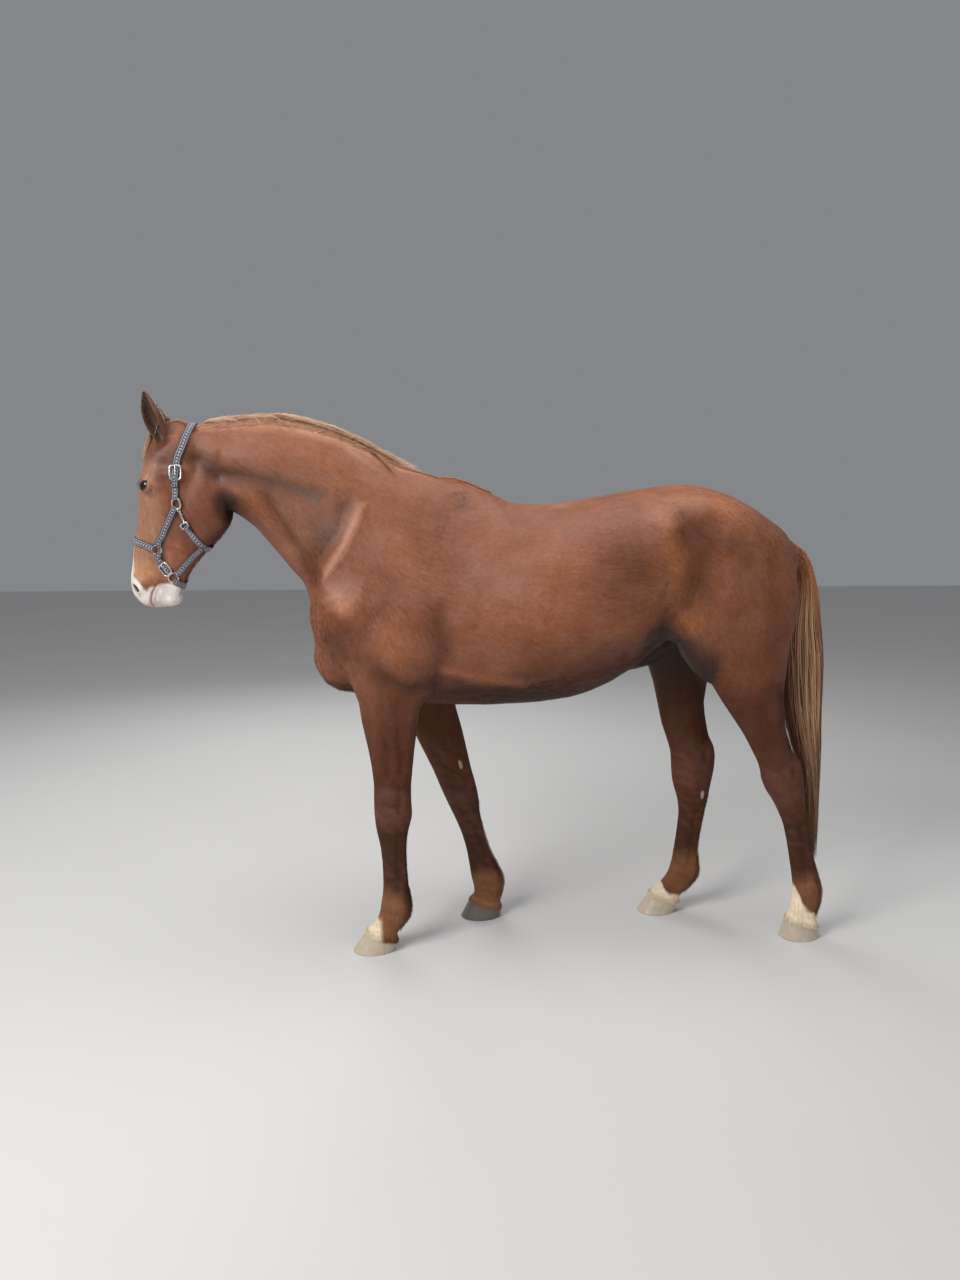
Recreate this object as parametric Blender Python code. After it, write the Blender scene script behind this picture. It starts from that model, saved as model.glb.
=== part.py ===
"""A standing chestnut riding horse at life size, wearing a webbing headcollar.

The horse faces -X, its left side is at -Y, and its hooves stand on z = 0.  The body is
lofted through named stations, padded with muscle masses, fused into one skin and then
parted with thin cuts into the pieces a person would name.
"""

import math

import bmesh
import bpy
import numpy as np
from mathutils import Matrix, Vector
from mathutils.bvhtree import BVHTree

# ---------------------------------------------------------------- driving dimensions
WITHERS_HEIGHT = 1.68  # metres, floor to the top of the withers
STATION_HEIGHT = 168.0  # every station below is in centimetres of a 168 cm horse
CM = WITHERS_HEIGHT / STATION_HEIGHT

GAP = 0.0004  # the thin cut between two pieces
VOXEL = 0.006  # grain at which the lofted forms are fused
SMOOTH_ROUNDS = 9
FLESH_TRIANGLES = 4340
RING_POINTS = 20

EYE_RADIUS = 2.35 * CM
EYE_CENTRE = (-112.3, 8.15, 164.6)

WEB_WIDTH = 2.5 * CM  # headcollar webbing
WEB_THICKNESS = 0.30 * CM
WEB_CLEARANCE = 0.25 * CM
WIRE_RADIUS = 0.26 * CM  # bent wire of the rings and buckles
WIRE_SIDES = 4

CHESTNUT = (0.23, 0.075, 0.035)
LEG_BROWN = (0.13, 0.04, 0.022)
MANE_GINGER = (0.30, 0.13, 0.06)
TAIL_BLOND = (0.33, 0.19, 0.10)
HOOF_HORN = (0.55, 0.45, 0.35)
DARK_HORN = (0.16, 0.13, 0.12)
EYE_BROWN = (0.02, 0.012, 0.008)
WEB_GREY = (0.16, 0.17, 0.19)
STEEL = (0.75, 0.75, 0.76)


# ---------------------------------------------------------------- scene and materials
def clear_scene():
    for obj in list(bpy.data.objects):
        bpy.data.objects.remove(obj, do_unlink=True)


def make_material(name, colour, roughness=0.6, metallic=0.0):
    material = bpy.data.materials.new(name)
    material.use_nodes = True
    shader = material.node_tree.nodes["Principled BSDF"]
    shader.inputs["Base Color"].default_value = (*colour, 1.0)
    shader.inputs["Roughness"].default_value = roughness
    shader.inputs["Metallic"].default_value = metallic
    return material


def add_object(name, bm, material=None, smooth_angle=math.radians(40)):
    """Puts a bmesh into the scene as a named object."""
    bmesh.ops.recalc_face_normals(bm, faces=bm.faces)
    mesh = bpy.data.meshes.new(name)
    bm.to_mesh(mesh)
    bm.free()
    mesh.shade_smooth()
    mesh.set_sharp_from_angle(angle=smooth_angle)
    obj = bpy.data.objects.new(name, mesh)
    bpy.context.scene.collection.objects.link(obj)
    if material:
        mesh.materials.append(material)
    return obj


def evaluated_bmesh(obj):
    """The object's mesh with its modifiers done, as a new bmesh in world space."""
    graph = bpy.context.evaluated_depsgraph_get()
    bm = bmesh.new()
    bm.from_object(obj, graph)
    bm.transform(obj.matrix_world)
    return bm


# ---------------------------------------------------------------- lofting
def smooth_rows(rows, count, middles=None):
    """Rows of numbers read along a Catmull-Rom curve at evenly spaced places."""
    rows = np.array(rows, float)
    middles = rows[:, :3] if middles is None else middles(rows)
    steps = np.linalg.norm(np.diff(middles, axis=0), axis=1)
    at = np.concatenate([[0.0], np.cumsum(steps)])
    slope = np.gradient(rows, at, axis=0)
    found = []
    for place in np.linspace(0, at[-1], count):
        i = min(int(np.searchsorted(at, place, side="right")) - 1, len(at) - 2)
        span = at[i + 1] - at[i]
        t = (place - at[i]) / span
        h00, h10 = 2 * t**3 - 3 * t**2 + 1, t**3 - 2 * t**2 + t
        h01, h11 = -2 * t**3 + 3 * t**2, t**3 - t**2
        found.append(
            h00 * rows[i] + h10 * span * slope[i]
            + h01 * rows[i + 1] + h11 * span * slope[i + 1]
        )
    return found


def between_ends(rows):
    """The middle of each cross-section that is given by two points of the side view."""
    return (rows[:, 0:2] + rows[:, 2:4]) / 2


def bend(value, power):
    """A sine or cosine turned into a superellipse's, which is squarer as power grows."""
    return math.copysign(abs(value) ** (2.0 / power), value)


def ring_places(row, side, ring_points):
    """One cross-section: a rounded outline between a point A and a point B of the side view."""
    ax, az, bx, bz, half_width, y, top_power, low_power, widest = row
    centre = Vector(((ax + bx) / 2, side * y, (az + bz) / 2))
    reach = Vector(((ax - bx) / 2, 0, (az - bz) / 2))
    for i in range(ring_points):
        angle = 2 * math.pi * i / ring_points
        power = top_power if math.sin(angle) > 0 else low_power
        along = bend(math.sin(angle), power)
        across = bend(math.cos(angle), power)
        along += widest * (1 - along * along)
        place = centre + reach * along
        place.y += half_width * across
        yield place * CM


def loft(bm, stations, side=1, shape=(2.0, 2.0, 0.0), rings=26, ring_points=RING_POINTS):
    """Joins cross-sections into one closed form.

    A station is (ax, az, bx, bz, half_width, y) with, where it differs from the loft's own,
    its shape (power towards A, power towards B, shift of the widest place towards A).
    """
    rows = [(*s[:6], *(s[6] if len(s) > 6 else shape)) for s in stations]
    loops = []
    for row in smooth_rows(rows, rings, between_ends):
        circle = bmesh.ops.create_circle(bm, segments=ring_points, radius=1.0)["verts"]
        for vert, place in zip(circle, ring_places(row, side, ring_points)):
            vert.co = place
        loops.append(circle)
    for near, far in zip(loops, loops[1:]):
        edges = [e for loop in (near, far) for e in ring_edges(loop)]
        bmesh.ops.bridge_loops(bm, edges=edges)
    for end in (loops[0], loops[-1]):
        bm.faces.new(end)


def ring_edges(loop):
    inside = set(loop)
    return {e for v in loop for e in v.link_edges if e.other_vert(v) in inside}


def mass(bm, centre, radii, pitch=0.0, turn=0.0, side=1):
    """An ellipsoid of muscle or bone.  pitch tips it in the side view, turn about Z."""
    x, y, z = centre
    place = (
        Matrix.Translation(Vector((x, side * y, z)) * CM)
        @ Matrix.Rotation(math.radians(side * turn), 4, "Z")
        @ Matrix.Rotation(math.radians(pitch), 4, "Y")
        @ Matrix.Diagonal((*(Vector(radii) * CM), 1.0))
    )
    bmesh.ops.create_uvsphere(bm, u_segments=20, v_segments=12, radius=1.0, matrix=place)


# ---------------------------------------------------------------- trunk, neck and head
# x, top, bottom, half width, shape
TRUNK = [
    (-58.8, 125, 109, 7, (2.0, 2.0, 0.0)),
    (-56.5, 131, 101, 14, (2.2, 2.2, 0.0)),
    (-52, 139, 95.5, 18, (2.1, 2.2, 0.0)),
    (-44, 150, 91, 20.5, (2.0, 2.1, -0.05)),
    (-33, 160, 88.5, 22.0, (1.8, 2.0, -0.12)),
    (-20, 167.2, 87.3, 23.2, (1.55, 2.0, -0.2)),
    (-9, 167.9, 87.0, 25.0, (1.45, 2.0, -0.22)),
    (2, 163.5, 87.0, 27.2, (1.6, 2.1, -0.2)),
    (10, 159.6, 87.2, 28.8, (1.85, 2.1, -0.14)),
    (20, 158.6, 87.8, 30.0, (2.0, 2.1, -0.1)),
    (36, 160.6, 90.5, 30.6, (2.05, 2.1, -0.06)),
    (50, 162.8, 97.0, 29.2, (2.1, 2.1, 0.0)),
    (62, 164.8, 105.5, 27.2, (2.1, 2.0, 0.1)),
    (75, 165.6, 112, 25.6, (2.1, 2.0, 0.15)),
    (86, 162.8, 114, 24.0, (2.1, 2.0, 0.15)),
    (95, 158.8, 114, 21.5, (2.1, 2.0, 0.1)),
    (102, 154.6, 115, 18.0, (2.0, 2.0, 0.0)),
    (108, 150.4, 118, 13.0, (2.0, 2.0, 0.0)),
    (112.5, 146.0, 124, 7.0, (2.0, 2.0, 0.0)),
]

# crest x, z; throat x, z; half width
NECK = [
    (-8, 165, -38, 104, 20.5),
    (-19, 169.2, -50, 111, 19.0),
    (-28, 172.0, -58.6, 120, 16.8),
    (-38.5, 177.3, -61.5, 129, 14.2),
    (-50, 182.8, -66.8, 136.2, 11.9),
    (-62, 186.2, -73.4, 144.4, 10.0),
    (-74, 187.4, -79.8, 151.6, 8.7),
    (-86, 186.2, -86.5, 156.0, 7.9),
    (-96, 185.4, -92.5, 160.0, 7.4),
    (-103, 184.6, -98.0, 164.0, 6.4),
]
NECK_SHAPE = (1.75, 2.2, -0.18)

# face x, z; back x, z; half width
HEAD = [
    (-108.5, 187.2, -101, 186.4, 2.6),
    (-110.8, 184.0, -96, 182, 6.0),
    (-112.6, 180, -93, 176, 7.3),
    (-114.6, 173.5, -92, 168, 8.5),
    (-116.8, 167.4, -93, 161, 9.3),
    (-117.4, 160, -94, 154, 8.3),
    (-118.2, 153, -97, 148, 7.0),
    (-120.0, 144.5, -101.5, 141, 5.6),
    (-121.1, 137.6, -104.5, 134, 4.9),
    (-121.8, 132.4, -106, 128.5, 5.2),
    (-121.3, 128.6, -107.5, 125.6, 5.2),
    (-118.8, 125.2, -109, 123.8, 4.2),
    (-116.2, 123.2, -111, 122.6, 2.2),
]
HEAD_SHAPE = (2.5, 2.2, 0.05)

# inner x, z; lower border x, z; half thickness, y
JAW = [
    (-97, 173, -88.5, 169, 1.8, 6.0),
    (-100, 163, -86.6, 160.5, 2.5, 5.9),
    (-101, 155, -86.8, 153.2, 2.7, 5.6),
    (-104, 149, -91.2, 146.6, 2.5, 4.9),
    (-107, 144, -96.4, 141.4, 2.2, 4.1),
    (-110, 138, -100.8, 136.0, 2.0, 3.3),
    (-111, 132.5, -103.4, 130.6, 1.9, 2.6),
    (-112, 128.5, -104.9, 126.8, 1.9, 1.9),
]

# centre, radii, pitch, turn: each is made on both sides
BODY_MASSES = [
    ((-47.5, 10.5, 121), (12.0, 9.6, 17), 0, 0),  # point of the shoulder
    ((-31, 14.0, 112), (15, 8.6, 18), 0, 0),  # triceps
    ((-23, 13.6, 100), (7, 5.6, 11), 0, 0),  # elbow
    ((-46.5, 7, 107), (12.0, 8.5, 14), 14, 0),  # breast
    ((97, 11.6, 128), (14.5, 10.5, 25), -8, 0),  # hamstring
    ((104.5, 8.0, 139), (8.0, 6.5, 10), -20, 0),  # point of the buttock
    ((84, 16.2, 130), (18, 10.2, 22), 0, 0),  # thigh
]
STIFLES = [  # each leg's own stifle and flank fold
    (-1, (77.5, 14.4, 113), (10.5, 9.4, 19), -24),
    (1, (70.5, 14.4, 113), (10.5, 9.4, 19), -4),
    (-1, (67, 15.0, 121), (9, 7.0, 11), -35),
    (1, (64, 15.0, 121), (9, 7.0, 11), -35),
]
HEAD_MASSES = [
    ((-97.4, 5.6, 158.5), (9.8, 3.0, 12.0), 12, 0),  # cheek
    ((-110.4, 6.8, 165.4), (5.4, 3.4, 5.0), 0, 0),  # orbit
    ((-117.3, 3.4, 130.0), (3.4, 2.1, 4.4), 12, 0),  # nostril
    ((-114.5, 2.4, 126.8), (4.8, 3.0, 3.6), 0, 0),  # upper lip
    ((-108.6, 1.2, 126.2), (4.4, 2.9, 3.3), 0, 0),  # chin
]

# Forms read in the side view, drawn on both sides unless a side is given.
# x, z, radius along, radius across, pitch, height
SWELLS = [
    (-47, 124, 8, 10, 0, 0.6),  # point of the shoulder
    (-31, 113, 9, 13, 20, 1.1),  # triceps
    (-19, 98, 4, 6, 0, 0.7),  # elbow
    (-28, 139, 8, 15, 40, 0.9),  # back of the shoulder blade
    (-37, 148, 6, 14, 35, 0.7),  # front of the shoulder blade
    (-55, 148, 7, 12, 30, -1.3),  # hollow before the shoulder
    (-8, 158, 9, 6, 0, -0.9),  # hollow behind the withers
    (-82, 176, 6, 3, -10, -0.5),
    (46, 135, 13, 15, 0, -1.5),  # flank
    (61, 152, 5.5, 6, 0, 1.5),  # point of the hip
    (68.5, 149, 6, 7, 0, -1.1),
    (80, 157, 14, 7, -8, 0.8),  # gluteal
    (88, 140, 9, 13, 0, -0.6),
    (95, 124, 10, 18, 0, 0.7),
    (73, 118, 7, 9, 0, 0.7),  # stifle
    (-96.5, 159, 9, 11, 12, 0.7),  # cheek
    (-107.3, 171.5, 3.4, 3.2, 0, -0.6),  # above the eye
    (-116.2, 144, 2.4, 8, 10, -0.35),  # side of the nose
    (-116.6, 130.8, 3.2, 4.6, 10, 0.45),  # nostril
    (-117.2, 130.2, 1.3, 2.6, 30, -0.9),
]
# points in the side view, half width, height
LINES = [
    ([(-74, 161), (-67, 150), (-60, 140), (-57, 132)], 1.9, -1.1),  # jugular groove
    ([(-98, 174.5), (-93, 171), (-87, 167.4), (-77.7, 166.5), (-69.5, 165), (-61, 158)], 2.5, -0.9),
    ([(-42, 158), (-44, 149), (-48, 141), (-54, 134), (-56, 130)], 1.8, 0.9),  # shoulder's edge
    ([(-18.4, 128), (-17.2, 114), (-17.6, 104)], 3.0, -0.8),  # behind the triceps
    ([(-33, 98), (-28, 95.6), (-22, 98), (-19, 103)], 1.6, -0.8),
    ([(-13, 102), (0, 98), (12, 96.4)], 1.8, 0.5),  # girth
    ([(57.7, 150), (60.6, 140), (62.6, 130), (64, 117)], 2.0, 0.8),  # flank fold
    ([(65, 143), (67, 130), (69, 119)], 2.4, -1.1),
    ([(74, 146), (75.5, 136), (76, 127)], 2.0, 0.6),
    ([(100, 141), (98.6, 122), (100, 108)], 2.0, -0.5),
    ([(-113.2, 160), (-111.6, 154), (-110.8, 146)], 1.0, 0.45),  # facial crest
    ([(-110, 168.4), (-104, 168.6), (-99, 170)], 1.3, 0.5),  # arch of the cheek
    ([(-88, 176), (-89.2, 168)], 1.3, -0.5),  # behind the jaw
]
# side, points down the leg, half width, height
LEG_LINES = [
    (-1, [(-30.2, 43), (-30.2, 22)], 0.9, -0.35),
    (1, [(-1.4, 39), (3.6, 20)], 0.9, -0.35),
    (-1, [(115.0, 43), (118.4, 22)], 0.9, -0.35),
    (1, [(84.0, 40), (82.0, 20)], 0.9, -0.35),
]
# across y, height z, half width, height, reach from and to in x: forms seen from the ends
END_LINES = [
    ([(0, 131), (0, 96)], 2.8, -1.3, -70, -38),  # between the breast muscles
    ([(0, 136), (0, 104)], 2.6, -2.0, 95, 125),  # between the buttocks
]


def build_trunk(bm):
    rows = [(x, top, x, low, width, 0, shape) for x, top, low, width, shape in TRUNK]
    loft(bm, rows, rings=40, ring_points=28)
    for centre, radii, pitch, turn in BODY_MASSES:
        for side in (-1, 1):
            mass(bm, centre, radii, pitch, turn, side)
    for side, centre, radii, pitch in STIFLES:
        mass(bm, centre, radii, pitch, 0, side)
    mass(bm, (59, 0, 104.5), (12, 5.0, 5.0), pitch=-22)  # sheath


def build_neck_and_head(bm):
    loft(bm, [(*row, 0) for row in NECK], shape=NECK_SHAPE, rings=32, ring_points=24)
    loft(bm, [(*row, 0) for row in HEAD], shape=HEAD_SHAPE, rings=34, ring_points=24)
    for side in (-1, 1):
        loft(bm, JAW, side, shape=(2.0, 2.2, 0.0), rings=22, ring_points=14)
        for centre, radii, pitch, turn in HEAD_MASSES:
            mass(bm, centre, radii, pitch, turn, side)


# ---------------------------------------------------------------- legs
# height: (front x, rear x, half width, y)
LEGS = {
    "foreleg_left": (-1, {
        118: (-50, -22, 5.0, 14), 106: (-48, -18, 6.6, 14.6), 97: (-45.6, -19, 6.6, 14.8),
        91: (-43.6, -21.2, 6.2, 14.4), 84: (-42.5, -22.5, 5.9, 14.0), 77: (-41.0, -23.4, 5.4, 13.7),
        66: (-39.2, -24.6, 4.6, 13.4), 60: (-38.7, -25.1, 4.6, 13.3), 55: (-38.8, -25.1, 5.2, 13.3),
        49.5: (-38.6, -24.9, 5.3, 13.2), 45: (-38.1, -26.1, 4.5, 13.1), 39: (-36.9, -27.0, 3.4, 13.0),
        30: (-36.1, -26.8, 2.9, 13.0), 22.5: (-36.1, -26.2, 3.2, 13.0), 16.8: (-36.9, -25.3, 4.0, 13.0),
        13: (-37.6, -25.7, 3.9, 13.0), 9.5: (-39.6, -28.0, 3.6, 13.0), 6: (-41.8, -30.5, 4.4, 13.0),
        2: (-43.2, -32.2, 4.4, 13.0),
    }),
    "foreleg_right": (1, {
        118: (-47, -18, 5.0, 14), 106: (-43, -12, 6.6, 14.6), 97: (-38.5, -10.0, 6.6, 14.8),
        90: (-33.5, -9.2, 6.2, 14.4), 82: (-28.8, -7.8, 5.9, 14.0), 74: (-24.8, -5.7, 5.4, 13.7),
        66: (-21.0, -3.9, 4.6, 13.4), 58.5: (-17.4, -2.2, 4.6, 13.3), 52.6: (-15.0, -0.6, 5.2, 13.3),
        47.5: (-12.8, 0.4, 5.3, 13.2), 42.5: (-10.5, 0.8, 4.5, 13.1), 35.4: (-7.4, 2.4, 3.4, 13.0),
        28: (-5.1, 4.8, 2.9, 13.0), 20.6: (-3.7, 8.0, 3.3, 13.0), 15.5: (-2.9, 10.2, 4.0, 13.0),
        11.5: (-1.9, 10.0, 3.8, 13.0), 8.2: (-1.9, 9.2, 3.6, 13.0), 5: (-2.8, 8.8, 4.4, 13.0),
        2: (-3.6, 8.6, 4.4, 13.0),
    }),
    "hindleg_left": (-1, {
        146: (68, 98, 6.0, 14), 136: (67, 107, 8.6, 14.6), 127: (67.5, 110.6, 10.2, 14.8),
        118: (66.5, 109.6, 10.2, 14.6), 108: (71.6, 108.2, 9.4, 14.2), 100: (78, 107.8, 8.2, 13.8),
        92: (82.8, 107.4, 7.1, 13.6), 84: (88.4, 108.2, 6.1, 13.4), 77: (93.2, 109.6, 5.3, 13.2),
        70.5: (96.8, 112.0, 4.8, 13.1), 65.5: (99.3, 115.3, 4.9, 13.0), 60: (100.6, 116.2, 5.1, 13.0),
        56: (102.4, 116.8, 5.2, 13.0), 52: (105.1, 117.2, 4.8, 13.0), 48: (107.2, 117.8, 4.1, 13.0),
        44: (109.0, 118.8, 3.6, 13.0), 37: (110.8, 120.4, 3.1, 13.0), 30: (112.2, 121.9, 3.0, 13.0),
        23.5: (113.4, 124.0, 3.4, 13.0), 17.8: (114.2, 125.3, 4.1, 13.0), 14: (113.9, 125.2, 4.0, 13.0),
        10: (113.2, 124.2, 3.7, 13.0), 6.5: (112.4, 123.7, 4.4, 13.0), 2: (112.0, 123.2, 4.4, 13.0),
    }),
    "hindleg_right": (1, {
        146: (66, 96, 6.0, 14), 136: (64.5, 103, 8.6, 14.6), 127: (62.5, 105, 10.2, 14.8),
        118: (61.5, 102.5, 10.2, 14.6), 108: (62.2, 97.5, 9.2, 14.2), 100: (63.8, 92.4, 8.2, 13.8),
        92: (66.4, 88.2, 7.1, 13.6), 84: (68.3, 87.0, 6.1, 13.4), 76.5: (70.0, 87.9, 5.3, 13.2),
        70: (72.0, 89.5, 4.8, 13.1), 64.7: (73.8, 91.6, 4.9, 13.0), 60: (74.3, 91.9, 5.1, 13.0),
        55: (74.7, 91.3, 5.2, 13.0), 50: (75.7, 90.4, 4.8, 13.0), 46: (77.0, 89.8, 4.1, 13.0),
        42: (77.7, 89.0, 3.6, 13.0), 33: (77.3, 87.6, 3.1, 13.0), 25: (76.3, 86.6, 3.1, 13.0),
        19.5: (75.5, 87.0, 3.8, 13.0), 15.3: (74.2, 87.3, 4.0, 13.0), 11.2: (71.2, 85.0, 3.7, 13.0),
        7: (67.6, 80.8, 4.3, 13.0), 2: (65.2, 77.8, 4.4, 13.0),
    }),
}
LEG_SHAPE = (2.1, 2.1, 0.0)

# toe x, heel x at the floor; coronet front x, z and rear x, z; horn colour
HOOVES = {
    "foreleg_left": (-46.6, -31.8, (-41.9, 7.6), (-30.6, 3.9)),
    "foreleg_right": (-6.6, 8.6, (-3.2, 7.2), (9.0, 4.0)),
    "hindleg_left": (110.2, 124.6, (112.2, 7.6), (124.4, 4.2)),
    "hindleg_right": (62.8, 77.4, (67.4, 7.6), (79.4, 4.0)),
}
HOOF_Y = 13.0


def build_leg(bm, side, stations):
    rows = [(front, z, rear, z, width, y) for z, (front, rear, width, y) in stations.items()]
    loft(bm, rows, side, LEG_SHAPE, rings=56, ring_points=20)


# ---------------------------------------------------------------- relief on the fused skin
def turned(x, z, pitch):
    angle = math.radians(pitch)
    return x * math.cos(angle) + z * math.sin(angle), z * math.cos(angle) - x * math.sin(angle)


def distance_to_path(a, b, points):
    """Distance in a flat view from each vertex to a line through the points."""
    best = np.full(len(a), 1e9)
    for (a0, b0), (a1, b1) in zip(points, points[1:]):
        da, db = a1 - a0, b1 - b0
        t = np.clip(((a - a0) * da + (b - b0) * db) / (da * da + db * db), 0, 1)
        best = np.minimum(best, np.hypot(a - a0 - t * da, b - b0 - t * db))
    return best


def relief_height(place, normal):
    """How far each vertex moves along its normal, in centimetres."""
    x, y, z = place.T
    sideways = np.clip(np.abs(normal[:, 1]) * 1.6, 0, 1) * (z > 62)
    height = np.zeros(len(x))
    for cx, cz, along, across, pitch, rise in SWELLS:
        u, v = turned(x - cx, z - cz, pitch)
        near = np.clip(1 - (u / along) ** 2 - (v / across) ** 2, 0, 1)
        height += rise * near**2 * sideways
    for points, width, rise in LINES:
        height += rise * np.exp(-((distance_to_path(x, z, points) / width) ** 2)) * sideways
    sideways = np.clip(np.abs(normal[:, 1]) * 1.6, 0, 1)
    for side, points, width, rise in LEG_LINES:
        near = np.exp(-((distance_to_path(x, z, points) / width) ** 2)) * (y * side > 5)
        height += rise * near * sideways
    endways = np.clip(np.abs(normal[:, 0]) * 1.6, 0, 1)
    for points, width, rise, low, high in END_LINES:
        near = np.exp(-((distance_to_path(y, z, points) / width) ** 2))
        height += rise * near * endways * ((x > low) & (x < high))
    return height


def soften_trunk(obj, rounds):
    """Blends the muscle masses of the trunk, leaving the head and the legs their edges."""
    group = obj.vertex_groups.new(name="trunk")
    for vert in obj.data.vertices:
        x, _, z = vert.co / CM
        share = min(1, max(0, (x + 70) / 14)) * min(1, max(0, (z - 78) / 16))
        if share > 0:
            group.add([vert.index], share, "REPLACE")
    smooth = obj.modifiers.new("Blend", "SMOOTH")
    smooth.vertex_group = group.name
    smooth.factor = 0.6
    smooth.iterations = rounds


def add_relief(mesh):
    count = len(mesh.vertices)
    place = np.zeros(count * 3)
    mesh.vertices.foreach_get("co", place)
    place = place.reshape(-1, 3)
    normal = np.array([v.normal for v in mesh.vertices])
    place += normal * relief_height(place / CM, normal)[:, None] * CM
    mesh.vertices.foreach_set("co", place.ravel())
    mesh.update()


# ---------------------------------------------------------------- cuts and pieces
def slab(bm, low, high, y_reach, thick=GAP):
    """A thin board standing on edge in the side view, from one point to another."""
    (x0, z0), (x1, z1) = low, high
    centre = Vector(((x0 + x1) / 2, (y_reach[0] + y_reach[1]) / 2, (z0 + z1) / 2)) * CM
    run = Vector((x1 - x0, 0, z1 - z0))
    place = (
        Matrix.Translation(centre)
        @ Matrix.Rotation(-math.atan2(run.z, run.x), 4, "Y")
        @ Matrix.Diagonal((run.length * CM, (y_reach[1] - y_reach[0]) * CM, thick, 1))
    )
    bmesh.ops.create_cube(bm, size=1.0, matrix=place)


LEFT, RIGHT, BOTH = (-30, -0.4), (0.4, 30), (-45, 45)
CUTS = [
    ((-95.6, 192), (-83.2, 150), BOTH),  # head from neck
    ((-20, 176), (-66, 118), BOTH),  # neck from trunk
    ((-56, 85.6), (4, 85.6), BOTH),  # forelegs from trunk
    ((56, 96.5), (122, 96.5), BOTH),  # hind legs from trunk
    ((-50, 43.5), (-12, 43.5), LEFT),  # below each knee
    ((-20, 40.5), (14, 40.5), RIGHT),
    ((100, 47.0), (130, 47.0), LEFT),  # below each hock
    ((66, 45.0), (98, 45.0), RIGHT),
]


def cut_with(obj, cutter, operation="DIFFERENCE"):
    """Booleans obj by cutter, which is then thrown away."""
    modifier = obj.modifiers.new("Cut", "BOOLEAN")
    modifier.object = cutter
    modifier.operation = operation
    modifier.solver = "EXACT"
    bm = evaluated_bmesh(obj)
    obj.modifiers.remove(modifier)
    bpy.data.objects.remove(cutter, do_unlink=True)
    return bm


def tidy_solid(bm):
    bmesh.ops.triangulate(bm, faces=bm.faces)
    bmesh.ops.remove_doubles(bm, verts=bm.verts, dist=0.00002)
    bmesh.ops.dissolve_degenerate(bm, dist=0.00002, edges=bm.edges)
    bmesh.ops.triangulate(bm, faces=bm.faces)


def loose_pieces(bm):
    """Splits a bmesh into one bmesh for each closed piece, largest first."""
    unseen = set(bm.faces)
    pieces = []
    while unseen:
        stack = [unseen.pop()]
        found = set(stack)
        while stack:
            for edge in stack.pop().edges:
                for face in edge.link_faces:
                    if face in unseen:
                        unseen.remove(face)
                        found.add(face)
                        stack.append(face)
        pieces.append(found)
    pieces.sort(key=lambda faces: (-len(faces), round(min(f.calc_center_median().x for f in faces), 5)))
    made = []
    for faces in pieces:
        piece = bmesh.new()
        new = {}
        for face in sorted(faces, key=lambda f: f.index):
            for vert in face.verts:
                if vert not in new:
                    new[vert] = piece.verts.new(vert.co)
            piece.faces.new([new[v] for v in face.verts])
        made.append(piece)
    return made


def middle(bm):
    return sum((v.co for v in bm.verts), Vector()) / len(bm.verts) / CM


def flesh_name(centre):
    """Names a piece of the parted body by where it lies."""
    side = "left" if centre.y < 0 else "right"
    if centre.z > 90:
        if centre.x < -90:
            return "head"
        return "neck" if centre.x < -38 else "trunk"
    limb = "foreleg" if centre.x < 30 else "hindleg"
    if centre.z > 46:
        return f"{limb}_{side}_upper"
    return f"{limb}_{side}_lower" if centre.z > 9 else None


def inflated_copy(mesh, distance):
    bm = bmesh.new()
    bm.from_mesh(mesh)
    bm.normal_update()
    for vert, normal in [(v, v.normal.copy()) for v in bm.verts]:
        vert.co += normal * distance
    return bm


# ---------------------------------------------------------------- hooves, ears and tail
def coronet_cut(bm, side, front, rear):
    """The thin cut between a pastern and its hoof, reaching past both."""
    run = Vector((rear[0] - front[0], rear[1] - front[1])) / (rear[0] - front[0])
    low = (front[0] - 6, front[1] - 6 * run.y)
    high = (rear[0] + 5, rear[1] + 5 * run.y)
    slab(bm, low, high, LEFT if side < 0 else RIGHT)


def hoof_ring(bm, side, front, rear, half_width, count=16):
    """A hoof's outline, round at the toe and drawn in at the heel."""
    loop = []
    for i in range(count):
        angle = 2 * math.pi * i / count
        along = math.cos(angle)
        across = bend(math.sin(angle), 2.2) * half_width * (1 - 0.13 * (1 - along) / 2)
        t = (1 - along) / 2
        x = front[0] + (rear[0] - front[0]) * t
        z = front[1] + (rear[1] - front[1]) * t
        loop.append(bm.verts.new(Vector((x, side * HOOF_Y + across, z)) * CM))
    for i in range(count):
        bm.edges.new((loop[i], loop[(i + 1) % count]))
    return loop


def build_hoof(name, side, toe, heel, front, rear, material):
    slope = (rear[1] - front[1]) / (rear[0] - front[0])

    def on_plane(x):
        return x, front[1] + slope * (x - front[0]) - GAP / CM

    bm = bmesh.new()
    loops = [
        hoof_ring(bm, side, (toe, 0), (heel, 0), 6.1),
        hoof_ring(bm, side, (toe + 0.25, 0.5), (heel - 0.1, 0.4), 6.15),
        hoof_ring(bm, side, (front[0] - 0.25, front[1] - 0.9), (rear[0] + 0.1, rear[1] - 0.9), 5.0),
        hoof_ring(bm, side, on_plane(front[0] + 0.3), on_plane(rear[0] - 0.2), 4.7),
    ]
    for low, high in zip(loops, loops[1:]):
        bmesh.ops.bridge_loops(bm, edges=[e for loop in (low, high) for e in ring_edges(loop)])
    bm.faces.new(loops[0])
    bm.faces.new(loops[-1])
    return add_object(name, bm, material)


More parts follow.
